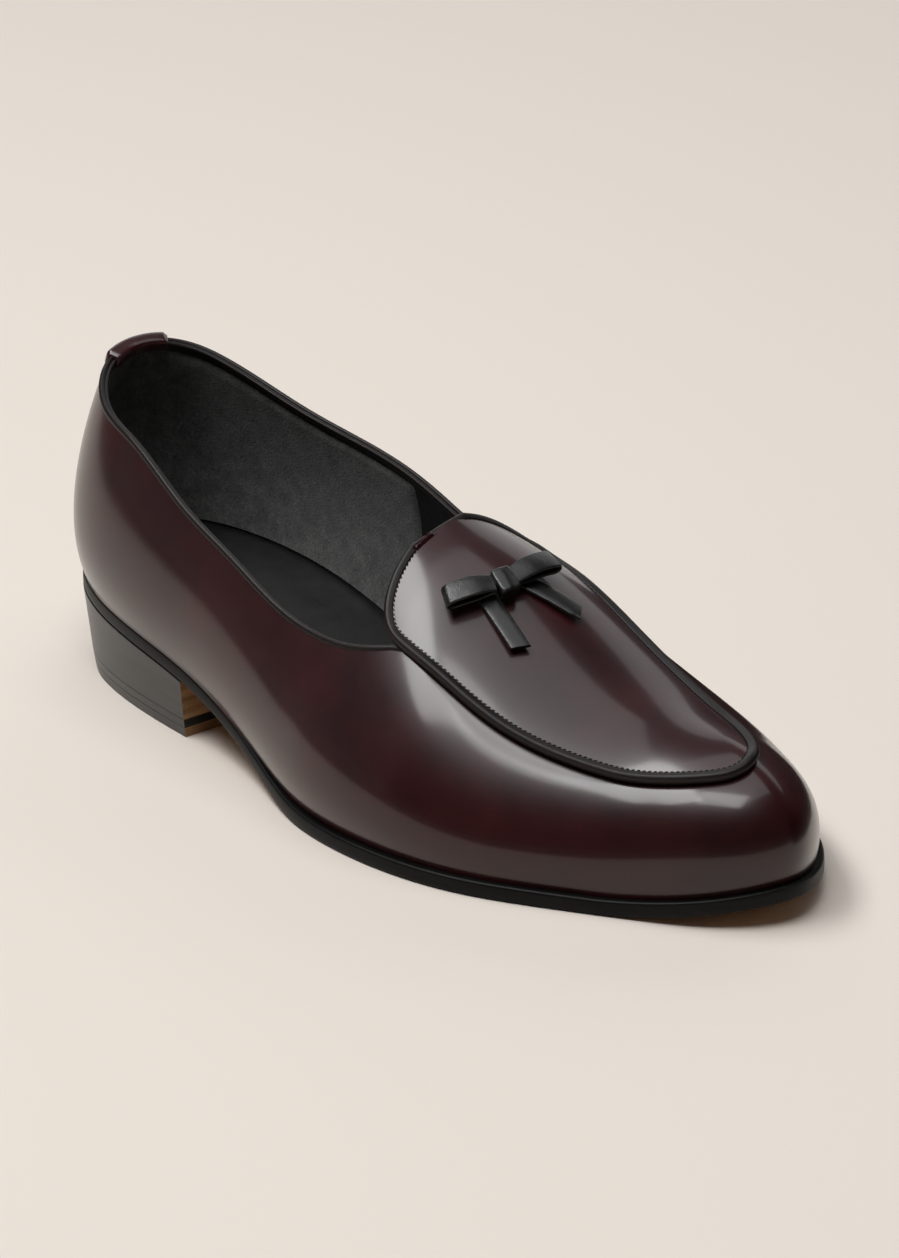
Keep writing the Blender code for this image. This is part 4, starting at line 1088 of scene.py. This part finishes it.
@dataclass
class StitchRow:
    """Stitches along a line, placed by a Geometry Nodes tree."""

    pitch: float = 1.6
    length: float = 1.15
    thickness: float = 0.34
    lift: float = 0.03
    slant: float = 9.0  # degrees that each stitch turns from the line
    seed: int = 7

    def tree(self, finish: bpy.types.Material) -> tuple[bpy.types.GeometryNodeTree, dict[str, str]]:
        """Builds the tree and gives the identifiers of its inputs by name."""
        tree = bpy.data.node_groups.new("stitch_row", "GeometryNodeTree")
        tree.interface.new_socket("Geometry", in_out="INPUT", socket_type="NodeSocketGeometry")
        names = {}
        for name in ("Pitch", "Length", "Thickness", "Lift", "Slant"):
            socket = tree.interface.new_socket(name, in_out="INPUT", socket_type="NodeSocketFloat")
            names[name] = socket.identifier
        socket = tree.interface.new_socket("Seed", in_out="INPUT", socket_type="NodeSocketInt")
        names["Seed"] = socket.identifier
        tree.interface.new_socket("Geometry", in_out="OUTPUT", socket_type="NodeSocketGeometry")
        given = add_node(tree, "NodeGroupInput").outputs
        line = add_node(tree, "GeometryNodeMeshToCurve", inputs={"Mesh": given["Geometry"]})
        points = add_node(tree, "GeometryNodeResampleCurve", {"mode": "LENGTH"}, {
            "Curve": line.outputs["Curve"], "Length": given["Pitch"]})
        off = add_node(tree, "GeometryNodeInputNamedAttribute", {"data_type": "FLOAT_VECTOR"}, {
            "Name": "off"})
        raised = add_node(tree, "ShaderNodeVectorMath", {"operation": "SCALE"}, {
            0: off.outputs["Attribute"], "Scale": given["Lift"]})
        placed = add_node(tree, "GeometryNodeSetPosition", inputs={
            "Geometry": points.outputs["Curve"], "Offset": raised.outputs["Vector"]})
        tangent = add_node(tree, "GeometryNodeInputTangent")
        turn = add_node(tree, "FunctionNodeAxesToRotation", {"primary_axis": "Z", "secondary_axis": "X"}, {
            0: off.outputs["Attribute"], 1: tangent.outputs["Tangent"]})
        tilt = add_node(tree, "FunctionNodeAxisAngleToRotation", inputs={
            "Axis": (0.0, 0.0, 1.0), "Angle": given["Slant"]})
        both = add_node(tree, "FunctionNodeRotateRotation", {"rotation_space": "LOCAL"}, {
            0: turn.outputs["Rotation"], 1: tilt.outputs["Rotation"]})
        vary = add_node(tree, "FunctionNodeRandomValue", {"data_type": "FLOAT"}, {
            2: 0.9, 3: 1.06, "Seed": given["Seed"]})
        long = add_node(tree, "ShaderNodeMath", {"operation": "MULTIPLY"}, {
            0: given["Length"], 1: vary.outputs[1]})
        size = add_node(tree, "ShaderNodeCombineXYZ", inputs={
            "X": long.outputs["Value"], "Y": given["Thickness"], "Z": given["Thickness"]})
        bead = add_node(tree, "GeometryNodeMeshUVSphere", inputs={
            "Segments": 8, "Rings": 6, "Radius": 0.5})
        # The ball's poles lie along the stitch, so that it tapers at both ends.
        lying = add_node(tree, "GeometryNodeTransform", inputs={
            "Geometry": bead.outputs["Mesh"], "Rotation": (0.0, math.pi / 2, 0.0)})
        soft = add_node(tree, "GeometryNodeSetShadeSmooth", inputs={"Geometry": lying.outputs["Geometry"]})
        many = add_node(tree, "GeometryNodeInstanceOnPoints", inputs={
            "Points": placed.outputs["Geometry"], "Instance": soft.outputs["Geometry"],
            "Rotation": both.outputs["Rotation"], "Scale": size.outputs["Vector"]})
        real = add_node(tree, "GeometryNodeRealizeInstances", inputs={
            "Geometry": many.outputs["Instances"]})
        dressed = add_node(tree, "GeometryNodeSetMaterial", inputs={
            "Geometry": real.outputs["Geometry"], "Material": finish})
        add_node(tree, "NodeGroupOutput", inputs={"Geometry": dressed.outputs["Geometry"]})
        return tree, names

    def make(self, name: str, line: Array, off: Array, finish: bpy.types.Material) -> bpy.types.Object:
        """Makes the row.

        Args:
            name: the piece's name.
            line: points of the line that it follows.
            off: the direction off the leather at each point.
            finish: the thread's material.

        Returns:
            The stitches as one plain mesh.
        """
        mesh = bpy.data.meshes.new(name)
        edges = [(i, i + 1) for i in range(len(line) - 1)]
        mesh.from_pydata(((line - HEEL_TO_MIDDLE) * MM).tolist(), edges, [])
        attribute = mesh.attributes.new("off", "FLOAT_VECTOR", "POINT")
        attribute.data.foreach_set("vector", off.astype(np.float32).ravel())
        made = bpy.data.objects.new(name, mesh)
        bpy.context.scene.collection.objects.link(made)
        tree, names = self.tree(finish)
        modifier = made.modifiers.new("stitches", "NODES")
        modifier.node_group = tree
        sizes = {"Pitch": self.pitch * MM, "Length": self.length * MM, "Thickness": self.thickness * MM,
                 "Lift": self.lift * MM, "Slant": math.radians(self.slant), "Seed": self.seed}
        for key, size in sizes.items():
            modifier[names[key]] = size
        freeze(made)
        return made


# Sole, insole and heel

@dataclass
class Planform:
    """The outline of what lies under the foot, in plan."""

    last: Last
    per_side: int = 180

    def sides(self, margin: Callable[[Array], Array], stop: float | None = None) -> Array:
        """Lateral and medial side of the feather line moved outwards.

        Args:
            margin: how far it is moved, as a function of x.
            stop: x of a flat front face, or None where the outline runs round the toe.

        Returns:
            The points of both sides, from the heel forwards.
        """
        u = np.linspace(0.0, 1.0, 2881)
        foot = self.last.sections(u)[:, :2]
        along = unit(self.last.sections(u + 1e-4)[:, :2] - self.last.sections(u - 1e-4)[:, :2])
        outward = np.stack([along[:, 1], -along[:, 0]], -1)
        if (outward * (foot - foot.mean(axis=0))).sum() < 0:
            outward = -outward
        line = foot + outward * margin(foot[:, 0])[:, None]
        tip = int(np.argmax(line[:, 0]))
        made = []
        for half in (line[: tip + 1], line[tip:][::-1]):
            length = lengths_along(half)
            end = length[-1] if stop is None else np.interp(stop, half[:tip, 0], length[:tip])
            at = np.linspace(0.0, end, self.per_side)
            made.append(np.stack([np.interp(at, length, half[:, k]) for k in range(2)], -1))
        both = np.array(made)
        both[:, 0] = both[:, 0].mean(axis=0)
        if stop is None:
            both[:, -1] = both[:, -1].mean(axis=0)
        else:
            both[:, -1, 0] = stop
        return both

    def slab(self, name: str, rows: Sequence, finishes: Sequence[bpy.types.Material],
             stop: float | None = None, kinds: tuple[int, int, int, int] = (0, 0, 0, 0)) -> bpy.types.Object:
        """A solid between outlines, one above the other.

        Args:
            name: the piece's name.
            rows: (margin, height) of each outline from the top down, both functions of x.
            finishes: its materials.
            stop: x of a flat front face, if it has one.
            kinds: which finish the top, the sides, the bottom and the front face take.

        Returns:
            The object.
        """
        skin = Skin()
        rings = []
        for margin, height in rows:
            plan = self.sides(margin, stop)
            rings.append(skin.add(np.concatenate([plan, height(plan[..., :1])], -1)))
        rings = np.array(rings)
        top, side, bottom, front = kinds
        skin.grid(rings[:, 0], side)
        skin.grid(rings[:, 1], side)
        skin.grid(rings[0], top)
        skin.grid(rings[-1], bottom)
        if stop is not None:
            skin.grid(rings[:, :, -1], front)
        return skin.build(name, finishes, sharp=38.0)


@dataclass
class Bottom:
    """The outsole, the sock inside and the stacked heel with its two lifts."""

    planform: Planform
    sole: Sole
    forepart_margin: float = 2.3
    heel_margin: float = 0.3
    breast_x: float = 83.0
    heel_taper: float = 1.8
    back_taper: tuple[float, float] = (2.7, 34.0)  # more at the very back, and where it has run out
    top_piece: float = 3.0
    black_lift: float = 2.4
    joint: float = 0.02  # the lifts are pressed together and the ink fills the line between them

    def sole_margin(self, inset: float) -> Callable[[Array], Array]:
        """How far the sole reaches past the feather line, drawn in by inset."""
        grow = self.forepart_margin - self.heel_margin
        return lambda x: self.heel_margin + grow * ease((x - 105.0) / 55.0) - inset

    def make_outsole(self, ink: bpy.types.Material, bare: bpy.types.Material) -> bpy.types.Object:
        """The leather sole: inked edge with rounded corners, bare underside."""
        top, low = self.sole.top, self.sole.underside
        rows = [(self.sole_margin(3.0), top)]
        for turn in np.radians((0.0, 30.0, 60.0, 90.0)):
            inset, drop = 0.9 * (1 - math.sin(turn)), 0.9 * (1 - math.cos(turn))
            rows.append((self.sole_margin(inset), lambda x, d=drop: top(x) - d))
        rows.append((self.sole_margin(-0.05), lambda x: low(x) + 2.4))
        for turn in np.radians((90.0, 60.0, 30.0, 0.0)):
            inset, rise = 1.0 * (1 - math.sin(turn)), 1.0 * (1 - math.cos(turn))
            rows.append((self.sole_margin(inset), lambda x, r=rise: low(x) + r))
        return self.planform.slab("leather_outsole", rows, [ink, bare], kinds=(0, 0, 1, 0))

    def make_sock(self, finish: bpy.types.Material) -> bpy.types.Object:
        """The insole with its black sock, soft at the edge."""
        def margin(inset: float) -> Callable[[Array], Array]:
            """A margin inside the lining."""
            return lambda x: np.full(np.shape(x), -inset)

        def height(z: float) -> Callable[[Array], Array]:
            """A height over the sole."""
            return lambda x: self.sole.top(x) + z

        rows = [(margin(5.0), height(2.8)), (margin(2.6), height(2.7)), (margin(2.0), height(2.4)),
                (margin(1.8), height(1.8)), (margin(1.8), height(0.3))]
        return self.planform.slab("insole_sock", rows, [finish])

    def heel_slab(self, name: str, low: float, high: float, finishes: Sequence[bpy.types.Material],
                  top: Callable[[Array], Array] | None = None) -> bpy.types.Object:
        """One layer of the heel between two heights, its sides inked and its breast bare."""
        seat = float(self.sole.underside(self.breast_x))
        soft = 0.08

        def margin(z: float, inset: float = 0.0) -> Callable[[Array], Array]:
            """The heel's outline at a height."""
            more, length = self.back_taper
            return lambda x: (self.heel_margin - inset
                              - (self.heel_taper + more * (1 - ease(x / length))) * (1 - z / seat))

        def level(z: float) -> Callable[[Array], Array]:
            """A flat height."""
            return lambda x: np.full(np.shape(x), z)

        rows = [(margin(high, soft), top or level(high))]
        if top is None:
            rows.append((margin(high), level(high - soft)))
        else:
            rows.append((margin(high), lambda x: top(x) - soft))
        rows += [(margin(low), level(low + soft)), (margin(low, soft), level(low))]
        return self.planform.slab(name, rows, finishes, stop=self.breast_x, kinds=(0, 0, 1, 1))

    def make_heel(self, ink: bpy.types.Material, bare: bpy.types.Material,
                  rubber: bpy.types.Material) -> list[bpy.types.Object]:
        """The stack, the black lift and the top piece that meets the floor."""
        low = self.top_piece
        middle = low + 0.3 + self.black_lift
        seat = float(self.sole.underside(self.breast_x))
        return [
            self.heel_slab("stacked_heel", middle + self.joint, seat, [ink, bare],
                           lambda x: self.sole.underside(x) - self.joint),
            self.heel_slab("black_heel_lift", low + self.joint, middle, [ink, rubber]),
            self.heel_slab("heel_walking_lift", 0.0, low, [ink, bare]),
        ]


# The bow

@dataclass(frozen=True)
class Loop:
    """One folded loop of the bow."""

    side: Side
    swept_back: float  # degrees from straight across
    length: float


@dataclass(frozen=True)
class Tail:
    """One loose end of the bow."""

    side: Side
    degrees: float  # from straight ahead, towards the medial side
    length: float
    start: tuple[float, float]  # ahead of the knot's middle and across from it


@dataclass
class Bow:
    """A flat bow of strap leather, tied on the apron."""

    last: Last
    rise: float
    x: float = 184.5
    y: float = -8.4
    strip: float = 1.1
    knot: tuple[float, float, float] = (5.6, 7.0, 6.5)  # across, along and to its top
    turn: float = 10.8  # degrees that the knot turns its medial end towards the toe
    loop_width: float = 5.8
    loop_height: float = 3.9
    loop_lift: float = 2.1
    tail_width: float = 5.4
    tail_slant: float = 0.36
    tail_rise: float = 1.1  # each tail's end stands this much off the apron
    corner: float = 0.28  # the strap's edges are rounded this much
    loops: tuple[Loop, ...] = (Loop(Side.LATERAL, 25.0, 13.6), Loop(Side.MEDIAL, 2.0, 14.4))
    tails: tuple[Tail, ...] = (Tail(Side.LATERAL, -8.9, 16.9, (-0.6, -5.2)),
                               Tail(Side.MEDIAL, 24.7, 17.7, (-0.6, 6.5)))

    def place(self, ahead: Array, across: Array, up: Array) -> Array:
        """Points from sizes along the apron's own face, in the shape of the sizes given."""
        shape = np.broadcast_shapes(np.shape(ahead), np.shape(across), np.shape(up))
        ahead, across, up = [np.broadcast_to(part, shape).ravel() for part in (ahead, across, up)]
        u, v = self.last.at_plan(np.stack([self.x + ahead, self.y + across], -1))
        out, _ = self.last.directions(u, v)
        return (self.last.point(u, v) + out * (self.rise + up)[:, None]).reshape(*shape, 3)

    def strap_section(self, width: float) -> Array:
        """(across, up) of the strap's section about its middle, with soft edges."""
        half, thick, c = width / 2, self.strip / 2, self.corner
        return rounded([
            (-half, -thick + c), (-half + c, -thick), (half - c, -thick), (half, -thick + c),
            (half, thick - c), (half - c, thick), (0.0, thick + 0.08), (-half + c, thick), (-half, thick - c),
        ], 1, 0.4)

    def make_knot(self, finish: bpy.types.Material) -> bpy.types.Object:
        """The wrap in the middle, pinched and a little fuller in its middle."""
        wide, long, top = self.knot
        low = self.loop_lift - 0.3
        corners = [(-wide / 2, low), (wide / 2, low), (wide / 2, top - 0.3), (0.0, top), (-wide / 2, top - 0.3)]
        section = rounded(corners, 5, 0.32)
        middle = np.array([0.0, (top + low) / 2])
        share = np.sin(np.linspace(-math.pi / 2, math.pi / 2, 17))
        swell = 0.80 + 0.20 * np.sqrt(np.maximum(0.0, 1 - np.abs(share) ** 5))
        sections = middle + (section - middle) * swell[:, None, None]
        # A shallow fold runs along the wrap where it was pulled tight.
        fold = 0.35 * np.exp(-(((section[:, 0] - 0.9) / 0.6) ** 2)) * (section[:, 1] > middle[1])
        sections[..., 1] -= fold * (0.6 + 0.4 * share[:, None])
        skin = Skin()
        along, turn = (share * long / 2)[:, None], math.radians(self.turn)
        ahead = along * math.cos(turn) + sections[..., 0] * math.sin(turn)
        across = sections[..., 0] * math.cos(turn) - along * math.sin(turn)
        rows = skin.add(self.place(ahead, across, sections[..., 1]))
        skin.grid(rows, round_row=True)
        skin.face(rows[0])
        skin.face(rows[-1])
        return skin.build("bow_wrap", [finish], sharp=55.0)

    def make_loop(self, loop: Loop, finish: bpy.types.Material) -> bpy.types.Object:
        """A loop: out over the apron, round its end and back on top."""
        radius = (self.loop_height - self.strip) / 2
        low = self.loop_lift + self.strip / 2
        back = math.radians(loop.swept_back)
        start = (self.knot[0] / 2 - 0.9 + 0.3 * self.loop_width * math.sin(back)) / math.cos(back)
        end = self.knot[0] / 2 + loop.length - radius - self.strip / 2
        turn = np.radians(np.linspace(-90.0, 90.0, 13))
        run = np.linspace(0.0, 1.0, 12)[:-1]
        away = np.concatenate([start + (end - start) * run, end + radius * np.cos(turn),
                               (end - (end - start) * np.linspace(0.0, 1.0, 12)[1:])])
        lower = low + 0.7 * (1 - ease(run / 0.45))
        upper = low + 2 * radius - 0.9 * ease((np.linspace(0.0, 1.0, 12)[1:] - 0.45) / 0.55)
        upper += 0.25 * np.sin(math.pi * np.linspace(0.0, 1.0, 12)[1:])
        height = np.concatenate([lower, low + radius * (1 + np.sin(turn)), upper])
        line = np.stack([away, height], -1)
        along = unit(np.gradient(line, axis=0))
        normal = np.stack([-along[:, 1], along[:, 0]], -1)
        narrow = 0.86 + 0.14 * ease((away - start) / 6.0)
        section = self.strap_section(self.loop_width)
        spot = line[:, None] + normal[:, None] * section[:, 1][None, :, None]
        wide = section[:, 0] * narrow[:, None]
        reach, up = spot[..., 0], spot[..., 1]
        # The strap cups a little across its width.
        up = up + 0.35 * (wide / self.loop_width) ** 2 * np.sign(low + radius - height)[:, None]
        ahead = wide * math.cos(back) - reach * math.sin(back)
        across = loop.side.value * (reach * math.cos(back) + wide * math.sin(back))
        skin = Skin()
        rows = skin.add(self.place(ahead, across, up))
        skin.grid(rows, round_row=True)
        skin.face(rows[0])
        skin.face(rows[-1])
        return skin.build(f"bow_loop_of_{loop.side.name.lower()}_side", [finish], sharp=50.0)

    def make_tail(self, tail: Tail, finish: bpy.types.Material) -> bpy.types.Object:
        """A tail: flat from under the knot, rising a little towards its slanted end."""
        turn = math.radians(tail.degrees)
        step = np.linspace(0.0, 1.0, 41)[:, None]
        lift = 0.35 + self.tail_rise * ease(step)
        section = self.strap_section(self.tail_width)
        wide, up = section[:, 0], section[:, 1] + self.strip / 2
        reach = step * (tail.length - wide * tail.side.value * self.tail_slant)
        ahead = tail.start[0] + reach * math.cos(turn) - wide * math.sin(turn)
        across = tail.start[1] + reach * math.sin(turn) + wide * math.cos(turn)
        skin = Skin()
        rows = skin.add(self.place(ahead, across, lift + up))
        skin.grid(rows, round_row=True)
        skin.face(rows[0])
        skin.face(rows[-1])
        return skin.build(f"bow_tail_of_{tail.side.name.lower()}_side", [finish], sharp=50.0)


# The studio

@dataclass(frozen=True)
class Softbox:
    """A rectangular light that looks at the shoe."""

    name: str
    azimuth: float  # degrees from +X towards +Y, seen from the shoe
    elevation: float
    distance: float  # metres
    width: float
    height: float
    radiance: float  # how bright its face looks
    colour: str = "#ffffff"

    def make(self, aim: Vector) -> None:
        """Adds the light."""
        light = bpy.data.lights.new(self.name, "AREA")
        light.shape = "RECTANGLE"
        light.size, light.size_y = self.width, self.height
        light.energy = self.radiance * math.pi * self.width * self.height
        light.color = linear(self.colour)[:3]
        made = bpy.data.objects.new(self.name, light)
        a, e = math.radians(self.azimuth), math.radians(self.elevation)
        away = Vector((math.cos(a) * math.cos(e), math.sin(a) * math.cos(e), math.sin(e)))
        made.location = aim + away * self.distance
        made.rotation_euler = away.to_track_quat("Z", "Y").to_euler()
        made.visible_camera = False
        bpy.context.scene.collection.objects.link(made)


@dataclass
class Studio:
    """A plain pale floor, soft lights and the camera."""

    floor_size: float = 14.0
    floor_colour: str = "#e5dcd3"
    air_colour: str = "#ece6e0"
    air: float = 0.05  # strength of the even light from all round
    eye: tuple[float, float, float] = (1.1032, -0.9535, 0.6490)
    aim: tuple[float, float, float] = (-0.0543, 0.0580, 0.0109)  # a point on the camera's middle line
    lens: float = 157.0
    flag_x: tuple[float, float] = (-0.02, 0.34)
    flag_y: float = 0.13
    flag_height: float = 0.1
    lights: tuple[Softbox, ...] = (
        Softbox("left_strip", -135.0, 64.0, 2.2, 1.7, 0.55, 9.5),
        Softbox("front_softbox", -62.0, 68.0, 2.2, 1.0, 0.6, 6.0),
        Softbox("overhead_silk", 0.0, 90.0, 2.6, 2.2, 2.2, 1.32),
        Softbox("back_wall", 125.0, 22.0, 3.2, 5.0, 2.6, 0.85),
        Softbox("left_wall", -130.0, 22.0, 3.0, 2.4, 2.0, 0.12),
    )

    def make(self) -> None:
        """Builds the floor, the lights and the camera."""
        mesh = bpy.data.meshes.new("studio_floor")
        half = self.floor_size / 2
        mesh.from_pydata([(-half, -half, 0), (half, -half, 0), (half, half, 0), (-half, half, 0)], [],
                         [(0, 1, 2, 3)])
        made, tree, place, shader = new_material("matt_studio_card")
        set_shader(shader, tree, {"Base Color": linear(self.floor_colour), "Roughness": 0.9,
                                  "Specular IOR Level": 0.1})
        mesh.materials.append(made)
        floor = bpy.data.objects.new("studio_floor", mesh)
        bpy.context.scene.collection.objects.link(floor)

        world = bpy.data.worlds.new("studio_air")
        bpy.context.scene.world = world
        world.use_nodes = True
        background = world.node_tree.nodes["Background"]
        background.inputs["Color"].default_value = linear(self.air_colour)
        background.inputs["Strength"].default_value = self.air
        self.make_flag()
        for light in self.lights:
            light.make(Vector((0.0, 0.0, 0.04)))

        camera = bpy.data.cameras.new("camera")
        camera.lens, camera.sensor_width = self.lens, 36.0
        seen = bpy.data.objects.new("camera", camera)
        seen.location = self.eye
        back = Vector(self.eye) - Vector(self.aim)
        seen.rotation_euler = back.to_track_quat("Z", "Y").to_euler()
        bpy.context.scene.collection.objects.link(seen)
        bpy.context.scene.camera = seen
        bpy.context.scene.view_settings.view_transform = "Standard"


    def make_flag(self) -> None:
        """A black card beside the toe that only reflections see, so that the polish stays deep."""
        (x_low, x_high), y, height = self.flag_x, self.flag_y, self.flag_height
        mesh = bpy.data.meshes.new("studio_flag")
        mesh.from_pydata([(x_low, y, 0), (x_high, y, 0), (x_high, y, height), (x_low, y, height)], [],
                         [(0, 1, 2, 3)])
        made, tree, place, shader = new_material("matt_black_card")
        set_shader(shader, tree, {"Base Color": linear("#0c0606"), "Roughness": 1.0,
                                  "Specular IOR Level": 0.0})
        mesh.materials.append(made)
        flag = bpy.data.objects.new("studio_flag", mesh)
        flag.visible_camera = flag.visible_diffuse = flag.visible_shadow = False
        bpy.context.scene.collection.objects.link(flag)


def settle(piece: bpy.types.Object, slot: str, *nodes: str) -> None:
    """Ties a piece to the frame and reports it.

    Args:
        piece: the finished piece.
        slot: the record's material slot for the piece's finish; not used.
        nodes: the CAD nodes that it stands for.
    """
    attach(piece, BODY)
    if nodes:
        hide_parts(*nodes)
    LOG.info("%s: %d faces", piece.name, len(piece.data.polygons))


def main() -> None:
    """Builds the shoe piece by piece, then the studio."""
    logging.basicConfig(level=logging.INFO, format="%(name)s: %(message)s")
    sole = Sole()
    last = Last(sole)
    pattern = Pattern(last)
    cutting = Cutting(pattern)
    burgundy, binding = BURGUNDY_CALF.material(), BINDING_KID.material()
    lining, thread = LINING_SKIN.material(), STITCH_THREAD.material()
    ink, bare = EDGE_INK.material(), BARE_SOLE.material()

    upper = Upper(cutting)
    settle(upper.make_wall(burgundy), "burgundy_leather", "upper")
    settle(upper.make_apron(burgundy), "burgundy_leather", "upper")
    settle(upper.make_wall_lining(lining), "black_lining_leather", "upper")
    settle(upper.make_apron_lining(lining), "black_lining_leather", "upper")
    settle(HeelGrip(cutting).make(HEEL_GRIP_SUEDE.material()), "black_lining_leather")

    topline = Topline(upper)
    settle(topline.make_binding(binding), "black_leather", "topline_binding")
    settle(topline.make_tab(burgundy), "burgundy_leather", "heel_tab")
    apron_edge = ApronEdge(cutting)
    settle(apron_edge.make(binding), "black_leather", "apron_binding")
    row = StitchRow()
    settle(row.make("apron_stitches", *apron_edge.stitch_line(), thread), "black_leather")

    bottom = Bottom(Planform(last), sole)
    settle(bottom.make_outsole(ink, bare), "black_sole_leather", "outsole")
    settle(bottom.make_sock(lining), "black_lining_leather", "insole")
    heel_nodes = ("heel_stack", "heel_black_lift", "heel_top_piece")
    heel_slots = ("stacked_heel_leather", "black_sole_leather", "natural_sole_leather")
    heel = bottom.make_heel(HEEL_INK.material(), bare, LIFT_RUBBER.material())
    for piece, slot, node in zip(heel, heel_slots, heel_nodes):
        settle(piece, slot, node)

    bow = Bow(last, pattern.apron_rise)
    strap = BOW_STRAP.material()
    settle(bow.make_knot(strap), "black_leather", "bow_knot")
    for loop in bow.loops:
        settle(bow.make_loop(loop, strap), "black_leather", f"bow_loop_{loop.side.name.lower()}")
    for tail in bow.tails:
        settle(bow.make_tail(tail, strap), "black_leather", f"bow_tail_{tail.side.name.lower()}")

    Studio().make()


if __name__ == "__main__":
    main()
